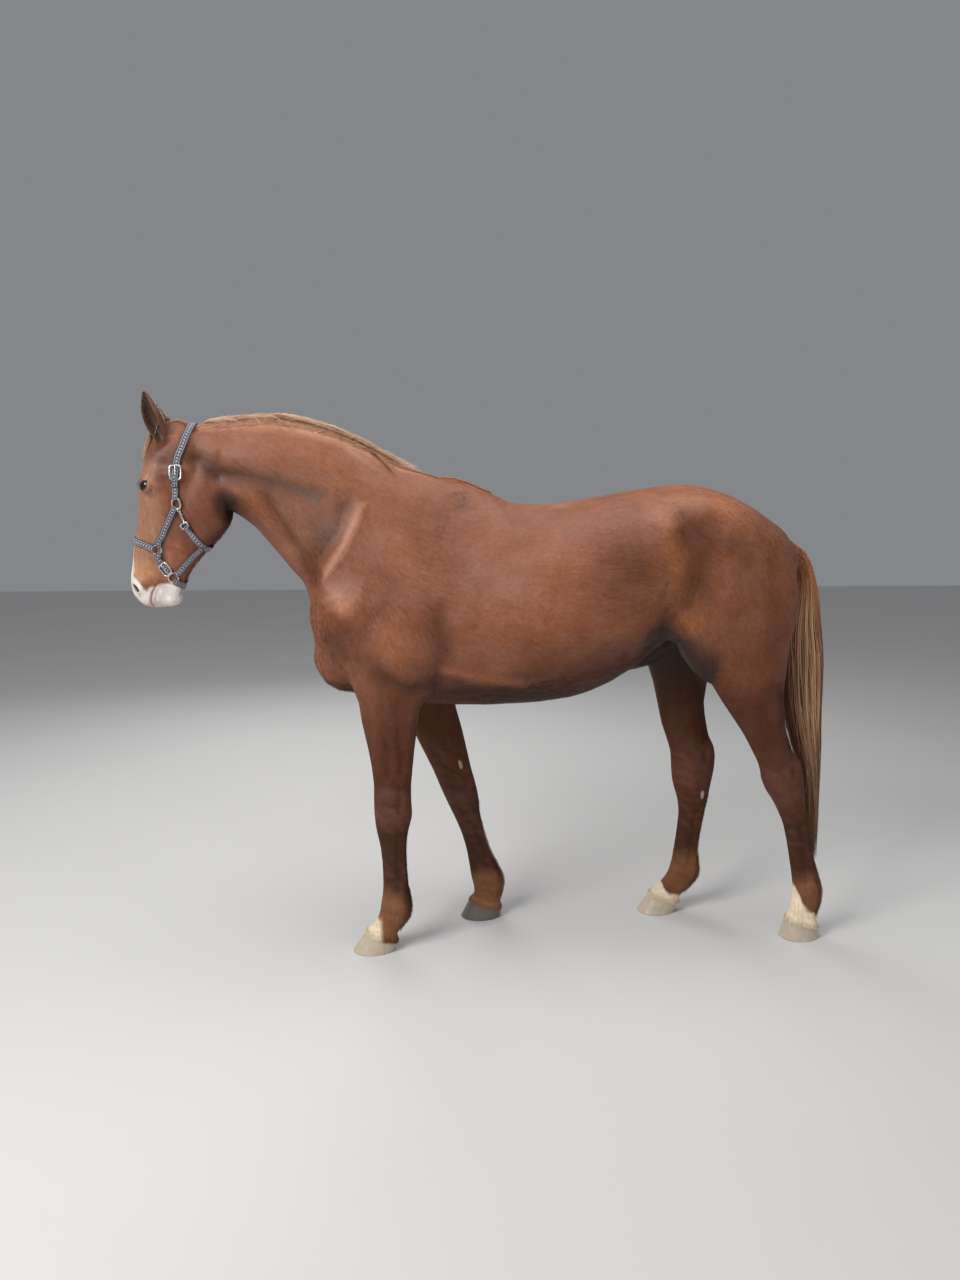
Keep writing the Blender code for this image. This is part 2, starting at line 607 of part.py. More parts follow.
# along the ear: x, y, z, half width, depth of the cup, turn of the opening in degrees
EAR = [
    (-104.6, 4.6, 175.5, 2.6, 2.2, 48),
    (-106.6, 5.2, 179.6, 3.2, 2.8, 50),
    (-108.4, 5.8, 183.6, 3.6, 3.3, 52),
    (-110.0, 6.3, 187.6, 3.5, 3.1, 54),
    (-111.6, 6.7, 191.6, 2.5, 2.0, 56),
    (-112.7, 6.8, 194.4, 1.3, 1.0, 58),
    (-113.4, 6.6, 196.2, 0.25, 0.2, 60),
]
EAR_WALL = 0.55


def build_ear(name, side, material, flesh_mesh):
    """A pointed cup of skin: each section is a crescent, open forward and outward."""
    bm = bmesh.new()
    loops = []
    arc = 7
    for x, y, z, width, depth, turn in smooth_rows(EAR, 8):
        up = Vector((-0.45, 0.12 * side, 0.88)).normalized()
        facing = Vector((-math.sin(math.radians(turn)), side * math.cos(math.radians(turn)), -0.3))
        facing = (facing - up * facing.dot(up)).normalized()
        across = up.cross(facing)
        base = Vector((x, side * y, z))
        outer, inner = [], []
        for i in range(arc):
            angle = math.radians(-112 + 224 * i / (arc - 1))
            wall = min(EAR_WALL, width * 0.45)
            away = -facing * math.cos(angle) * depth + across * math.sin(angle) * width
            outer.append(bm.verts.new((base + away) * CM))
            pull = away.normalized() * wall if away.length else away
            inner.append(bm.verts.new((base + away - pull) * CM))
        loops.append(outer + inner[::-1])
    for low, high in zip(loops, loops[1:]):
        for i in range(len(low)):
            j = (i + 1) % len(low)
            bm.faces.new((low[i], low[j], high[j], high[i]))
    bm.faces.new(loops[0])
    bm.faces.new(loops[-1])
    ear = add_object("ear", bm)
    skin_copy = add_object("skin", inflated_copy(flesh_mesh, GAP))
    cut = cut_with(ear, skin_copy)
    tidy_solid(cut)
    bpy.data.objects.remove(ear, do_unlink=True)
    pieces = sorted(loose_pieces(cut), key=lambda piece: -middle(piece).z)
    return add_object(name, pieces[0], material)


TAIL = [
    (111.0, 149.0, 107.5, 140.5, 3.6, 0),
    (116.4, 145.6, 111.5, 137.8, 3.7, 0),
    (120.2, 141.9, 114.4, 134.2, 3.9, 0),
    (123.2, 134.7, 115.5, 129.4, 4.3, 0),
    (124.8, 127.3, 114.4, 123.4, 4.9, 0),
    (126.1, 116.3, 111.9, 113.0, 5.6, 0),
    (127.4, 105.1, 110.6, 102.6, 6.0, 0),
    (128.0, 93.8, 110.8, 91.5, 6.0, 0),
    (128.1, 78.6, 113.6, 78.0, 5.4, 0),
    (128.5, 63.2, 118.8, 62.8, 4.4, 0),
    (128.5, 47.6, 123.0, 47.4, 3.2, 0),
    (128.4, 35.8, 125.2, 35.4, 2.0, 0),
    (127.9, 25.4, 126.9, 25.2, 0.7, 0),
]


def build_tail(material, flesh_mesh):
    bm = bmesh.new()
    loft(bm, TAIL, shape=(2.2, 2.0, 0.1), rings=17, ring_points=10)
    tail = add_object("tail_rough", bm)
    cut = cut_with(tail, add_object("skin", inflated_copy(flesh_mesh, GAP)))
    tidy_solid(cut)
    bpy.data.objects.remove(tail, do_unlink=True)
    pieces = sorted(loose_pieces(cut), key=lambda piece: middle(piece).z)
    return add_object("tail", pieces[0], material)


# ---------------------------------------------------------------- hair on the crest and brow
def shortfall(surface, places, keep=0.0016):
    """How far the places must rise to stay clear of the body everywhere."""
    worst = 0.0
    for place in places:
        near, normal, _, _ = surface.find_nearest(place)
        worst = max(worst, keep - (place - near).dot(normal))
    return worst


def surface_grid(surface, starts_and_rays):
    """Where each ray from inside the body comes out of it, and which way that place faces."""
    grid = []
    for row in starts_and_rays:
        found = []
        for start, ray in row:
            place, normal, _, _ = surface.ray_cast(Vector(start) * CM, Vector(ray).normalized())
            found.append((place, normal))
        grid.append(found)
    return grid


def shell_lifts(surface, grid, clearance):
    """Extra height for each place of the grid, so that the flat cells between stay clear."""
    rows, columns = len(grid), len(grid[0])
    lifts = [[0.0] * columns for _ in range(rows)]
    for _ in range(3):
        extra = [[0.0] * columns for _ in range(rows)]
        for r in range(rows - 1):
            for c in range(columns - 1):
                corners = [(r, c), (r + 1, c), (r + 1, c + 1), (r, c + 1)]
                places = [grid[i][j][0] + grid[i][j][1] * (clearance + lifts[i][j]) for i, j in corners]
                shares = [i / 4 for i in range(5)]
                inside = [
                    places[0].lerp(places[1], u).lerp(places[3].lerp(places[2], u), v) for u in shares for v in shares
                ]
                rise = shortfall(surface, inside)
                for i, j in corners:
                    extra[i][j] = max(extra[i][j], rise)
        for r in range(rows):
            for c in range(columns):
                lifts[r][c] += extra[r][c]
    return lifts


def shell(name, surface, grid, thickness, material, clearance=0.0012):
    """A closed sheet lying over the body, thickness(row, column) being shares of 0 to 1."""
    rows, columns = len(grid), len(grid[0])
    lifts = shell_lifts(surface, grid, clearance)
    bm = bmesh.new()
    inner, outer = [], []
    for r in range(rows):
        inner.append([])
        outer.append([])
        for c in range(columns):
            place, normal = grid[r][c]
            thick = thickness(r / (rows - 1), c / (columns - 1)) * CM
            rise = clearance + lifts[r][c]
            inner[r].append(bm.verts.new(place + normal * rise))
            outer[r].append(bm.verts.new(place + normal * (rise + thick)))
    for r in range(rows - 1):
        for c in range(columns - 1):
            for layer in (inner, outer):
                corners = (layer[r][c], layer[r + 1][c], layer[r + 1][c + 1], layer[r][c + 1])
                bm.faces.new(corners if layer is outer else corners[::-1])
    rim = [(r, 0) for r in range(rows)] + [(rows - 1, c) for c in range(1, columns)]
    rim += [(r, columns - 1) for r in range(rows - 2, -1, -1)] + [(0, c) for c in range(columns - 2, 0, -1)]
    for (r0, c0), (r1, c1) in zip(rim, rim[1:] + rim[:1]):
        bm.faces.new((outer[r0][c0], outer[r1][c1], inner[r1][c1], inner[r0][c0]))
    return add_object(name, bm, material)


def build_mane(surface, material, rows=14, columns=6):
    crest = [(row[0], row[1]) for row in NECK[2:9]]
    rays = []
    for x, z in smooth_rows(crest, rows):
        row = []
        for c in range(columns):
            angle = math.radians(-26 + 128 * c / (columns - 1))
            row.append(((x, 0, z - 6), (0, math.sin(angle), math.cos(angle))))
        rays.append(row)

    def thickness(along, across):
        full = 0.55 + 1.3 * math.sin(math.pi * min(1, along * 0.6 + 0.3)) * (1 - abs(across - 0.25))
        return full * (0.35 + 0.65 * math.sin(math.pi * min(max(across, 0.04), 0.96)))

    return shell("mane", surface, surface_grid(surface, rays), thickness, material, clearance=0.003)


def build_forelock(surface, material, rows=7, columns=5):
    rays = []
    for r in range(rows):
        t = r / (rows - 1)
        height = 183.4 - 14.0 * t
        spread = 1.7 + 0.5 * math.sin(math.pi * t) - 0.6 * t
        row = []
        for c in range(columns):
            across = spread * (2 * c / (columns - 1) - 1)
            row.append(((-103, across, height), (-1, 0, 0.05)))
        rays.append(row)

    def thickness(along, across):
        return (0.25 + 0.5 * (1 - along)) * (0.4 + 0.6 * math.sin(math.pi * min(max(across, 0.04), 0.96)))

    return shell("forelock", surface, surface_grid(surface, rays), thickness, material)


# ---------------------------------------------------------------- headcollar
def strap_frames(surface, waypoints, steps, lift):
    """Places, outward directions and widthways directions along a strap."""
    places, outs = [], []
    for x, y, z, loose in smooth_rows(waypoints, steps):
        aim = Vector((x, y, z)) * CM
        near, normal, _, _ = surface.find_nearest(aim)
        away = aim - near
        if loose > 0.5 and away.dot(normal) > lift:
            places.append(aim)
        else:
            places.append(near + normal * lift)
        outs.append(normal)
    for _ in range(3):
        outs = [
            (outs[max(i - 1, 0)] + outs[i] * 2 + outs[min(i + 1, steps - 1)]).normalized()
            for i in range(steps)
        ]
    frames = []
    for i, place in enumerate(places):
        run = (places[min(i + 1, steps - 1)] - places[max(i - 1, 0)]).normalized()
        out = (outs[i] - run * outs[i].dot(run)).normalized()
        frames.append((place, out, run.cross(out)))
    return frames


def lifted_frames(surface, frames, width, thick):
    """Raises a strap's sections wherever its underside would touch the head."""
    last = len(frames) - 1
    edges = [
        [place + wide * width * a - out * thick * 0.5 for a in (-0.5, 0, 0.5)] for place, out, wide in frames
    ]
    lifts = []
    for i, edge in enumerate(edges):
        nearby = list(edge)
        for other in (edges[min(i + 1, last)], edges[max(i - 1, 0)]):
            nearby += [(a + b) / 2 for a, b in zip(edge, other)]
        lifts.append(shortfall(surface, nearby))
    return [
        (place + out * max(lifts[max(i - 1, 0)] * 0.5, lifts[i], lifts[min(i + 1, last)] * 0.5), out, wide)
        for i, (place, out, wide) in enumerate(frames)
    ]


def build_strap(name, surface, waypoints, material, steps=14, width=WEB_WIDTH, extra=0.0):
    """A flat band laid along the head through (x, y, z, hangs free) waypoints."""
    thick = WEB_THICKNESS
    frames = strap_frames(surface, waypoints, steps, WEB_CLEARANCE + thick / 2 + extra)
    bm = bmesh.new()
    loops = []
    for _ in range(3):
        frames = lifted_frames(surface, frames, width, thick)
    for place, out, wide in frames:
        corners = [(-0.5, -0.5), (0.5, -0.5), (0.5, 0.5), (-0.5, 0.5)]
        loops.append([bm.verts.new(place + wide * width * a + out * thick * b) for a, b in corners])
    for near, far in zip(loops, loops[1:]):
        for i in range(4):
            j = (i + 1) % 4
            bm.faces.new((near[i], near[j], far[j], far[i]))
    bm.faces.new(loops[0])
    bm.faces.new(loops[-1])
    return add_object(name, bm, material, math.radians(50))


def build_ring(name, surface, centre, along, radii, material, corner=2.0, extra=0.0, segments=10):
    """A wire loop lying on the head; radii are along its length and across, corner squares it."""
    near, normal, _, _ = surface.find_nearest(Vector(centre) * CM)
    run = Vector(along)
    run = (run - normal * run.dot(normal)).normalized()
    wide = normal.cross(run)
    lift = WEB_CLEARANCE + WIRE_RADIUS + extra
    bm = bmesh.new()
    loops = []
    for i in range(segments):
        angle = 2 * math.pi * (i + 0.5) / segments
        a, b = bend(math.cos(angle), corner) * radii[0], bend(math.sin(angle), corner) * radii[1]
        middle_point = near + normal * lift + (run * a + wide * b) * CM
        away = (run * a + wide * b).normalized()
        loop = []
        for j in range(WIRE_SIDES):
            turn = 2 * math.pi * j / WIRE_SIDES
            offset = away * math.cos(turn) + normal * math.sin(turn)
            loop.append(bm.verts.new(middle_point + offset * WIRE_RADIUS))
        loops.append(loop)
    under = [(a.co + b.co) / 2 for near_loop, far_loop in zip(loops, loops[1:] + loops[:1])
             for a, b in zip(near_loop, far_loop)] + [v.co for v in bm.verts]
    bmesh.ops.translate(bm, verts=bm.verts, vec=normal * shortfall(surface, under, 0.0024))
    for near_loop, far_loop in zip(loops, loops[1:] + loops[:1]):
        for j in range(WIRE_SIDES):
            k = (j + 1) % WIRE_SIDES
            bm.faces.new((near_loop[j], near_loop[k], far_loop[k], far_loop[j]))
    return add_object(name, bm, material)


def build_headcollar(surface, webbing, steel):
    crown = [
        (-98.2, 0, 186.0, 1), (-98.5, 3.2, 184.6, 1), (-99.4, 5.8, 181.8, 1),
        (-100.8, 7.6, 177.6, 0), (-102.2, 9, 174.0, 0),
    ]
    left_crown = [(x, -y, z, loose) for x, y, z, loose in crown[::-1]]
    build_strap("strap_crown", surface, left_crown + crown[1:], webbing, steps=20)
    over_nose = [(-113.3, 7, 143.8, 0), (-117.4, 5.4, 145.2, 0), (-120.6, 0, 146.6, 0)]
    right_nose = over_nose[::-1]
    left_nose = [(x, -y, z, loose) for x, y, z, loose in over_nose]
    build_strap("strap_nose", surface, left_nose + right_nose[1:], webbing, steps=12)
    for side, word in ((-1, "left"), (1, "right")):
        build_ring(f"ring_cheek_{word}", surface, (-103.6, side * 10, 159.0), (0, 0, 1), (2.2, 1.5), steel)
        build_ring(f"ring_nose_{word}", surface, (-110.9, side * 8, 143.2), (0.3, 0, 1), (1.6, 1.6), steel)
        build_ring(
            f"buckle_crown_{word}", surface, (-102.8, side * 9, 170.0), (0, 0, 1), (2.6, 1.9), steel, 5.0
        )
        build_strap(
            f"strap_drop_{word}", surface,
            [(-103.1, side * 9, 166.6, 0), (-103.4, side * 9, 162.0, 0)], webbing, steps=4, width=WEB_WIDTH * 0.86,
        )
        cheek = [(-104.6, side * 9, 155.9, 0), (-107.2, side * 8.5, 150.8, 0), (-109.8, side * 8, 145.9, 0)]
        build_strap(f"strap_cheek_{word}", surface, cheek, webbing, steps=6, width=WEB_WIDTH * 0.86)
    # the adjusting strap runs down from the near nose ring; its ring sits by the chin groove
    build_strap(
        "strap_adjust", surface, [(-111.6, -7, 140.9, 0), (-110.4, -6.5, 138.9, 0)], webbing, steps=3,
        width=WEB_WIDTH * 0.86,
    )
    build_ring("buckle_chin", surface, (-108.9, -5.6, 136.6), (0.62, 0, -0.78), (2.2, 1.8), steel, 5.0)
    build_ring("ring_chin", surface, (-106.1, -4.6, 133.6), (0.6, 0, -0.8), (1.5, 1.5), steel)
    under_chin = [
        (-104.9, -3.6, 131.8, 0), (-103.4, -1.4, 130.2, 1), (-103.2, 1.4, 130.6, 1),
        (-105.0, 4.2, 133.0, 0), (-108.6, 6.2, 137.4, 0), (-110.2, 6.8, 140.0, 0),
    ]
    build_strap("strap_chin", surface, under_chin, webbing, steps=12, width=WEB_WIDTH * 0.86)
    jaw = [(-104.2, -4.6, 135.4, 0), (-100.6, -5, 139.4, 0), (-97.3, -5.4, 142.6, 0)]
    build_strap("strap_jaw", surface, jaw, webbing, steps=7, width=WEB_WIDTH * 0.86)
    under_jaw = [
        (-99.8, -8, 149.6, 0), (-97.8, -7.4, 146.8, 0), (-95.4, -5.4, 144.0, 0), (-94.4, -2.6, 143.0, 1),
        (-94.4, 2.6, 143.0, 1), (-95.4, 5.4, 144.0, 0), (-98.4, 7.6, 147.8, 0), (-101.9, 9, 154.8, 0),
    ]
    build_strap("strap_throat", surface, under_jaw, webbing, steps=18, width=WEB_WIDTH * 0.86)
    build_ring("loop_throat", surface, (-100.7, -9, 151.7), (0.4, 0, -0.9), (1.2, 1.6), steel, 5.0)
    build_snap(surface, steel)


def build_snap(surface, steel):
    """The small bolt snap that joins the cheek ring to the throat strap."""
    start, normal, _, _ = surface.find_nearest(Vector((-102.5, -9, 156.4)) * CM)
    end, _, _, _ = surface.find_nearest(Vector((-101.3, -9, 153.6)) * CM)
    lift = normal * (WEB_CLEARANCE + 0.45 * CM)
    run = end - start
    place = (
        Matrix.Translation((start + end) / 2 + lift)
        @ run.to_track_quat("Z", "Y").to_matrix().to_4x4()
        @ Matrix.Diagonal((0.42 * CM, 0.42 * CM, run.length * 0.92, 1))
    )
    bm = bmesh.new()
    bmesh.ops.create_cone(
        bm, cap_ends=True, segments=10, radius1=1.0, radius2=0.7, depth=1.0, matrix=place
    )
    add_object("snap_throat", bm, steel)


clear_scene()
coat = make_material("chestnut_coat", CHESTNUT)
leg_coat = make_material("leg_coat", LEG_BROWN)
hair = make_material("mane_hair", MANE_GINGER)
tail_hair = make_material("tail_hair", TAIL_BLOND)
pale_horn = make_material("pale_horn", HOOF_HORN, 0.45)
dark_horn = make_material("dark_horn", DARK_HORN, 0.45)
eye_glass = make_material("eye_brown", EYE_BROWN, 0.06)
webbing = make_material("grey_webbing", WEB_GREY, 0.8)
steel = make_material("bright_steel", STEEL, 0.25, 1.0)

rough = bmesh.new()
build_trunk(rough)
build_neck_and_head(rough)
for leg_side, leg_stations in LEGS.values():
    build_leg(rough, leg_side, leg_stations)
body = add_object("body", rough, coat)
for kind, settings in (
    ("REMESH", {"mode": "VOXEL", "voxel_size": VOXEL}),
    ("SMOOTH", {"factor": 0.6, "iterations": SMOOTH_ROUNDS}),
):
    modifier = body.modifiers.new(kind.title(), kind)
    for key, value in settings.items():
        setattr(modifier, key, value)
fused = add_object("fused", evaluated_bmesh(body), coat)
bpy.data.objects.remove(body, do_unlink=True)
soften_trunk(fused, rounds=34)
relief = add_object("relief", evaluated_bmesh(fused), coat)
bpy.data.objects.remove(fused, do_unlink=True)
add_relief(relief.data)
soften = relief.modifiers.new("Soften", "SMOOTH")
soften.factor = 0.5
soften.iterations = 4
thin = relief.modifiers.new("Thin", "DECIMATE")
thin.ratio = FLESH_TRIANGLES / (2 * len(relief.data.polygons))
flesh_bm = evaluated_bmesh(relief)
bpy.data.objects.remove(relief, do_unlink=True)
flesh = add_object("flesh", flesh_bm, coat)

surface = BVHTree.FromObject(flesh, bpy.context.evaluated_depsgraph_get())
for eye_side, eye_name in ((-1, "eye_left"), (1, "eye_right")):
    place = Matrix.Translation(Vector((EYE_CENTRE[0], eye_side * EYE_CENTRE[1], EYE_CENTRE[2])) * CM)
    ball = bmesh.new()
    bmesh.ops.create_uvsphere(ball, u_segments=12, v_segments=8, radius=EYE_RADIUS, matrix=place)
    add_object(eye_name, ball, eye_glass)

build_ear("ear_left", -1, coat, flesh.data)
build_ear("ear_right", 1, coat, flesh.data)
build_tail(tail_hair, flesh.data)
build_mane(surface, hair)
build_forelock(surface, hair)
build_headcollar(surface, webbing, steel)

cutters = bmesh.new()
for low, high, y_reach in CUTS:
    slab(cutters, low, high, y_reach)
for leg_name, (toe, heel, front, rear) in HOOVES.items():
    leg_side = LEGS[leg_name][0]
    coronet_cut(cutters, leg_side, front, rear)
    horn = dark_horn if leg_name == "foreleg_right" else pale_horn
    build_hoof(leg_name.replace("leg", "hoof"), leg_side, toe, heel, front, rear, horn)
parted = cut_with(flesh, add_object("cutters", cutters))
tidy_solid(parted)
bpy.data.objects.remove(flesh, do_unlink=True)
for piece in loose_pieces(parted):
    found_name = flesh_name(middle(piece))
    if found_name is None:
        piece.free()
        continue
    made = add_object(found_name, piece, leg_coat if "lower" in found_name else coat)
    if found_name == "head":
        sockets = bmesh.new()
        for eye_side in (-1, 1):
            centre = Vector((EYE_CENTRE[0], eye_side * EYE_CENTRE[1], EYE_CENTRE[2])) * CM
            bmesh.ops.create_uvsphere(
                sockets, u_segments=12, v_segments=8, radius=EYE_RADIUS + GAP, matrix=Matrix.Translation(centre)
            )
        head = cut_with(made, add_object("sockets", sockets))
        tidy_solid(head)
        bpy.data.objects.remove(made, do_unlink=True)
        add_object("head", head, coat)

corners = [v.co for obj in bpy.data.objects for v in obj.data.vertices]
shift = Vector((
    -(min(c.x for c in corners) + max(c.x for c in corners)) / 2,
    -(min(c.y for c in corners) + max(c.y for c in corners)) / 2,
    -min(c.z for c in corners),
))
for obj in bpy.data.objects:
    obj.data.transform(Matrix.Translation(shift))
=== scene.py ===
import math

import bmesh
import bpy
import numpy as np
from mathutils import Matrix, Vector
from mathutils.bvhtree import BVHTree


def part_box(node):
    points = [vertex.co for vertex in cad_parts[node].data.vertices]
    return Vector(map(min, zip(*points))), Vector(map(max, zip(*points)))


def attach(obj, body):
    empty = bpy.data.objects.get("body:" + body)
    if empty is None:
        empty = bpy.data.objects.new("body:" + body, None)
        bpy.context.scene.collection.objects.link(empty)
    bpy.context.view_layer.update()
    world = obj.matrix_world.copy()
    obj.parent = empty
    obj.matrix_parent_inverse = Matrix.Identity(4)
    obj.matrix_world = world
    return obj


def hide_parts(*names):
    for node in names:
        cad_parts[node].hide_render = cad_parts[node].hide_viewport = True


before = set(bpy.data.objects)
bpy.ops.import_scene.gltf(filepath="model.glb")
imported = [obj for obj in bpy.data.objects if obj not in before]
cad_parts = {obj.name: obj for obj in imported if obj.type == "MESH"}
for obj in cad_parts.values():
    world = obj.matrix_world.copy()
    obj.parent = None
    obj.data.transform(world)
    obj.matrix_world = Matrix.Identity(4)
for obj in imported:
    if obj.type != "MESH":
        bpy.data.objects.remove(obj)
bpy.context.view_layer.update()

# Everything is laid out in centimetres of a 168 cm horse that faces -X, with its left side at -Y.
cm = 0.01
scene = bpy.context.scene
rng = np.random.default_rng(24)
bothSides = ((-1, "left"), (1, "right"))


def mirrored(point, side):
    x, y, z = point
    return Vector((x, side * y, z))


eyeball = {"centre": (-112.3, 8.15, 164.6), "radius": 2.35}
leftEyeLow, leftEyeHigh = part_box("eye_left")
shift = (leftEyeLow + leftEyeHigh) / 2 - mirrored(eyeball["centre"], -1) * cm


def linked(name, data):
    piece = bpy.data.objects.new(name, data)
    scene.collection.objects.link(piece)
    return piece


def makeObject(name, bm, material=None, smooth=True):
    mesh = bpy.data.meshes.new(name)
    for face in bm.faces:
        face.smooth = smooth
    bm.to_mesh(mesh)
    bm.free()
    if material:
        mesh.materials.append(material)
    return linked(name, mesh)


def settle(piece, slotName, *nodes):
    # moves a piece from the horse's own frame to the model's, and hides the parts of the model that it takes the
    # place of
    piece.data.transform(Matrix.Translation(shift))
    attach(piece, "root")
    if nodes:
        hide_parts(*nodes)


def applyModifiers(piece):
    ready = bpy.data.meshes.new_from_object(piece.evaluated_get(bpy.context.evaluated_depsgraph_get()))
    old = piece.data
    piece.modifiers.clear()
    piece.data = ready
    bpy.data.meshes.remove(old)


def meshArrays(mesh):
    count = len(mesh.vertices)
    place, normal = np.zeros(count * 3), np.zeros(count * 3)
    mesh.vertices.foreach_get("co", place)
    mesh.vertex_normals.foreach_get("vector", normal)
    return place.reshape(-1, 3), normal.reshape(-1, 3)


def setPlaces(mesh, place):
    mesh.vertices.foreach_set("co", place.ravel())
    mesh.update()


def ease(low, high, value):
    t = np.clip((value - low) / (high - low), 0, 1)
    return t * t * (3 - 2 * t)


def between(low, high, value):
    # the same as ease, quicker for a single number
    t = min(1.0, max(0.0, (value - low) / (high - low)))
    return t * t * (3 - 2 * t)


def bell(value, centre, width):
    return np.exp(-(((value - centre) / width) ** 2))


def bumpAt(value, centre, width):
    return math.exp(-(((value - centre) / width) ** 2))


def distanceToPath(a, b, points):
    best = np.full(len(a), 1e9)
    for (a0, b0), (a1, b1) in zip(points, points[1:]):
        da, db = a1 - a0, b1 - b0
        t = np.clip(((a - a0) * da + (b - b0) * db) / (da * da + db * db), 0, 1)
        best = np.minimum(best, np.hypot(a - a0 - t * da, b - b0 - t * db))
    return best


def nearPath(a, b, points, width):
    return bell(distanceToPath(a, b, points), 0, width)


def fromOval(x, z, cx, cz, pitch):
    # offsets along and across a tilted oval in the side view
    angle = math.radians(pitch)
    dx, dz = x - cx, z - cz
    return dx * math.cos(angle) + dz * math.sin(angle), dz * math.cos(angle) - dx * math.sin(angle)


def wander(place, size, seed=0.0):
    # a soft, repeatable unevenness between -1 and 1; size is the width of its patches in cm
    x, y, z = (place / size).T
    total = np.sin(1.9 * x + 1.3 * z + 2.1 * np.sin(0.7 * y + seed) + seed)
    total += np.sin(2.3 * y - 1.7 * z + 1.7 * np.sin(1.1 * x - seed) + 2.2 * seed)
    total += np.sin(2.9 * z + 0.8 * x + 1.9 * np.sin(1.3 * y + 0.6 * x + seed) - 1.4 * seed)
    return total / 3


def smoothRows(rows, count, middles=None):
    # rows of measures spaced evenly on a smooth curve through the given ones
    rows = np.array(rows, float)
    middles = rows[:, :3] if middles is None else middles(rows)
    steps = np.linalg.norm(np.diff(middles, axis=0), axis=1)
    at = np.concatenate([[0.0], np.cumsum(steps)])
    slope = np.gradient(rows, at, axis=0)
    found = []
    for place in np.linspace(0, at[-1], count):
        i = min(int(np.searchsorted(at, place, side="right")) - 1, len(at) - 2)
        span = at[i + 1] - at[i]
        t = (place - at[i]) / span
        h00, h10 = 2 * t**3 - 3 * t**2 + 1, t**3 - 2 * t**2 + t
        h01, h11 = -2 * t**3 + 3 * t**2, t**3 - t**2
        found.append(h00 * rows[i] + h10 * span * slope[i] + h01 * rows[i + 1] + h11 * span * slope[i + 1])
    return found


def betweenEnds(rows):
    return (rows[:, 0:2] + rows[:, 2:4]) / 2


def bend(value, power):
    # squares off a circle's sine or cosine; 2 leaves it round
    return math.copysign(abs(value) ** (2.0 / power), value)


def around(count):
    return [2 * math.pi * i / count for i in range(count)]


def ringOf(bm, places):
    ring = bmesh.ops.create_circle(bm, segments=len(places), radius=1.0)["verts"]
    for vert, place in zip(ring, places):
        vert.co = place * cm
    return ring


def bridge(bm, near, far):
    edges = set()
    for loop in (near, far):
        inside = set(loop)
        edges |= {e for v in loop for e in v.link_edges if e.other_vert(v) in inside}
    bmesh.ops.bridge_loops(bm, edges=list(edges))


def joinLoops(bm, loops, closed=False):
    for near, far in zip(loops, loops[1:] + loops[:1] if closed else loops[1:]):
        bridge(bm, near, far)
    if not closed:
        bm.faces.new(loops[0])
        bm.faces.new(loops[-1])


def outward(bm):
    bmesh.ops.recalc_face_normals(bm, faces=bm.faces)
    return bm


def loft(bm, stations, side=1, shape=(2.0, 2.0, 0.0), rings=26, ringPoints=20):
    # a station is (ax, az, bx, bz, halfWidth, y) and, where it has its own, the shape of its outline
    rows = [(*s[:6], *(s[6] if len(s) > 6 else shape)) for s in stations]
    loops = []
    for ax, az, bx, bz, halfWidth, y, topPower, lowPower, widest in smoothRows(rows, rings, betweenEnds):
        centre = Vector(((ax + bx) / 2, side * y, (az + bz) / 2))
        reach = Vector(((ax - bx) / 2, 0, (az - bz) / 2))
        places = []
        for angle in around(ringPoints):
            power = topPower if math.sin(angle) > 0 else lowPower
            along, across = bend(math.sin(angle), power), bend(math.cos(angle), power)
            along += widest * (1 - along * along)
            places.append(centre + reach * along + Vector((0, halfWidth * across, 0)))
        loops.append(ringOf(bm, places))
    joinLoops(bm, loops)


def mass(bm, centre, radii, pitch=0.0, side=1):
    place = (
        Matrix.Translation(mirrored(centre, side) * cm)
        @ Matrix.Rotation(math.radians(pitch), 4, "Y")
        @ Matrix.Diagonal((*(Vector(radii) * cm), 1.0))
    )
    bmesh.ops.create_uvsphere(bm, u_segments=28, v_segments=16, radius=1.0, matrix=place)


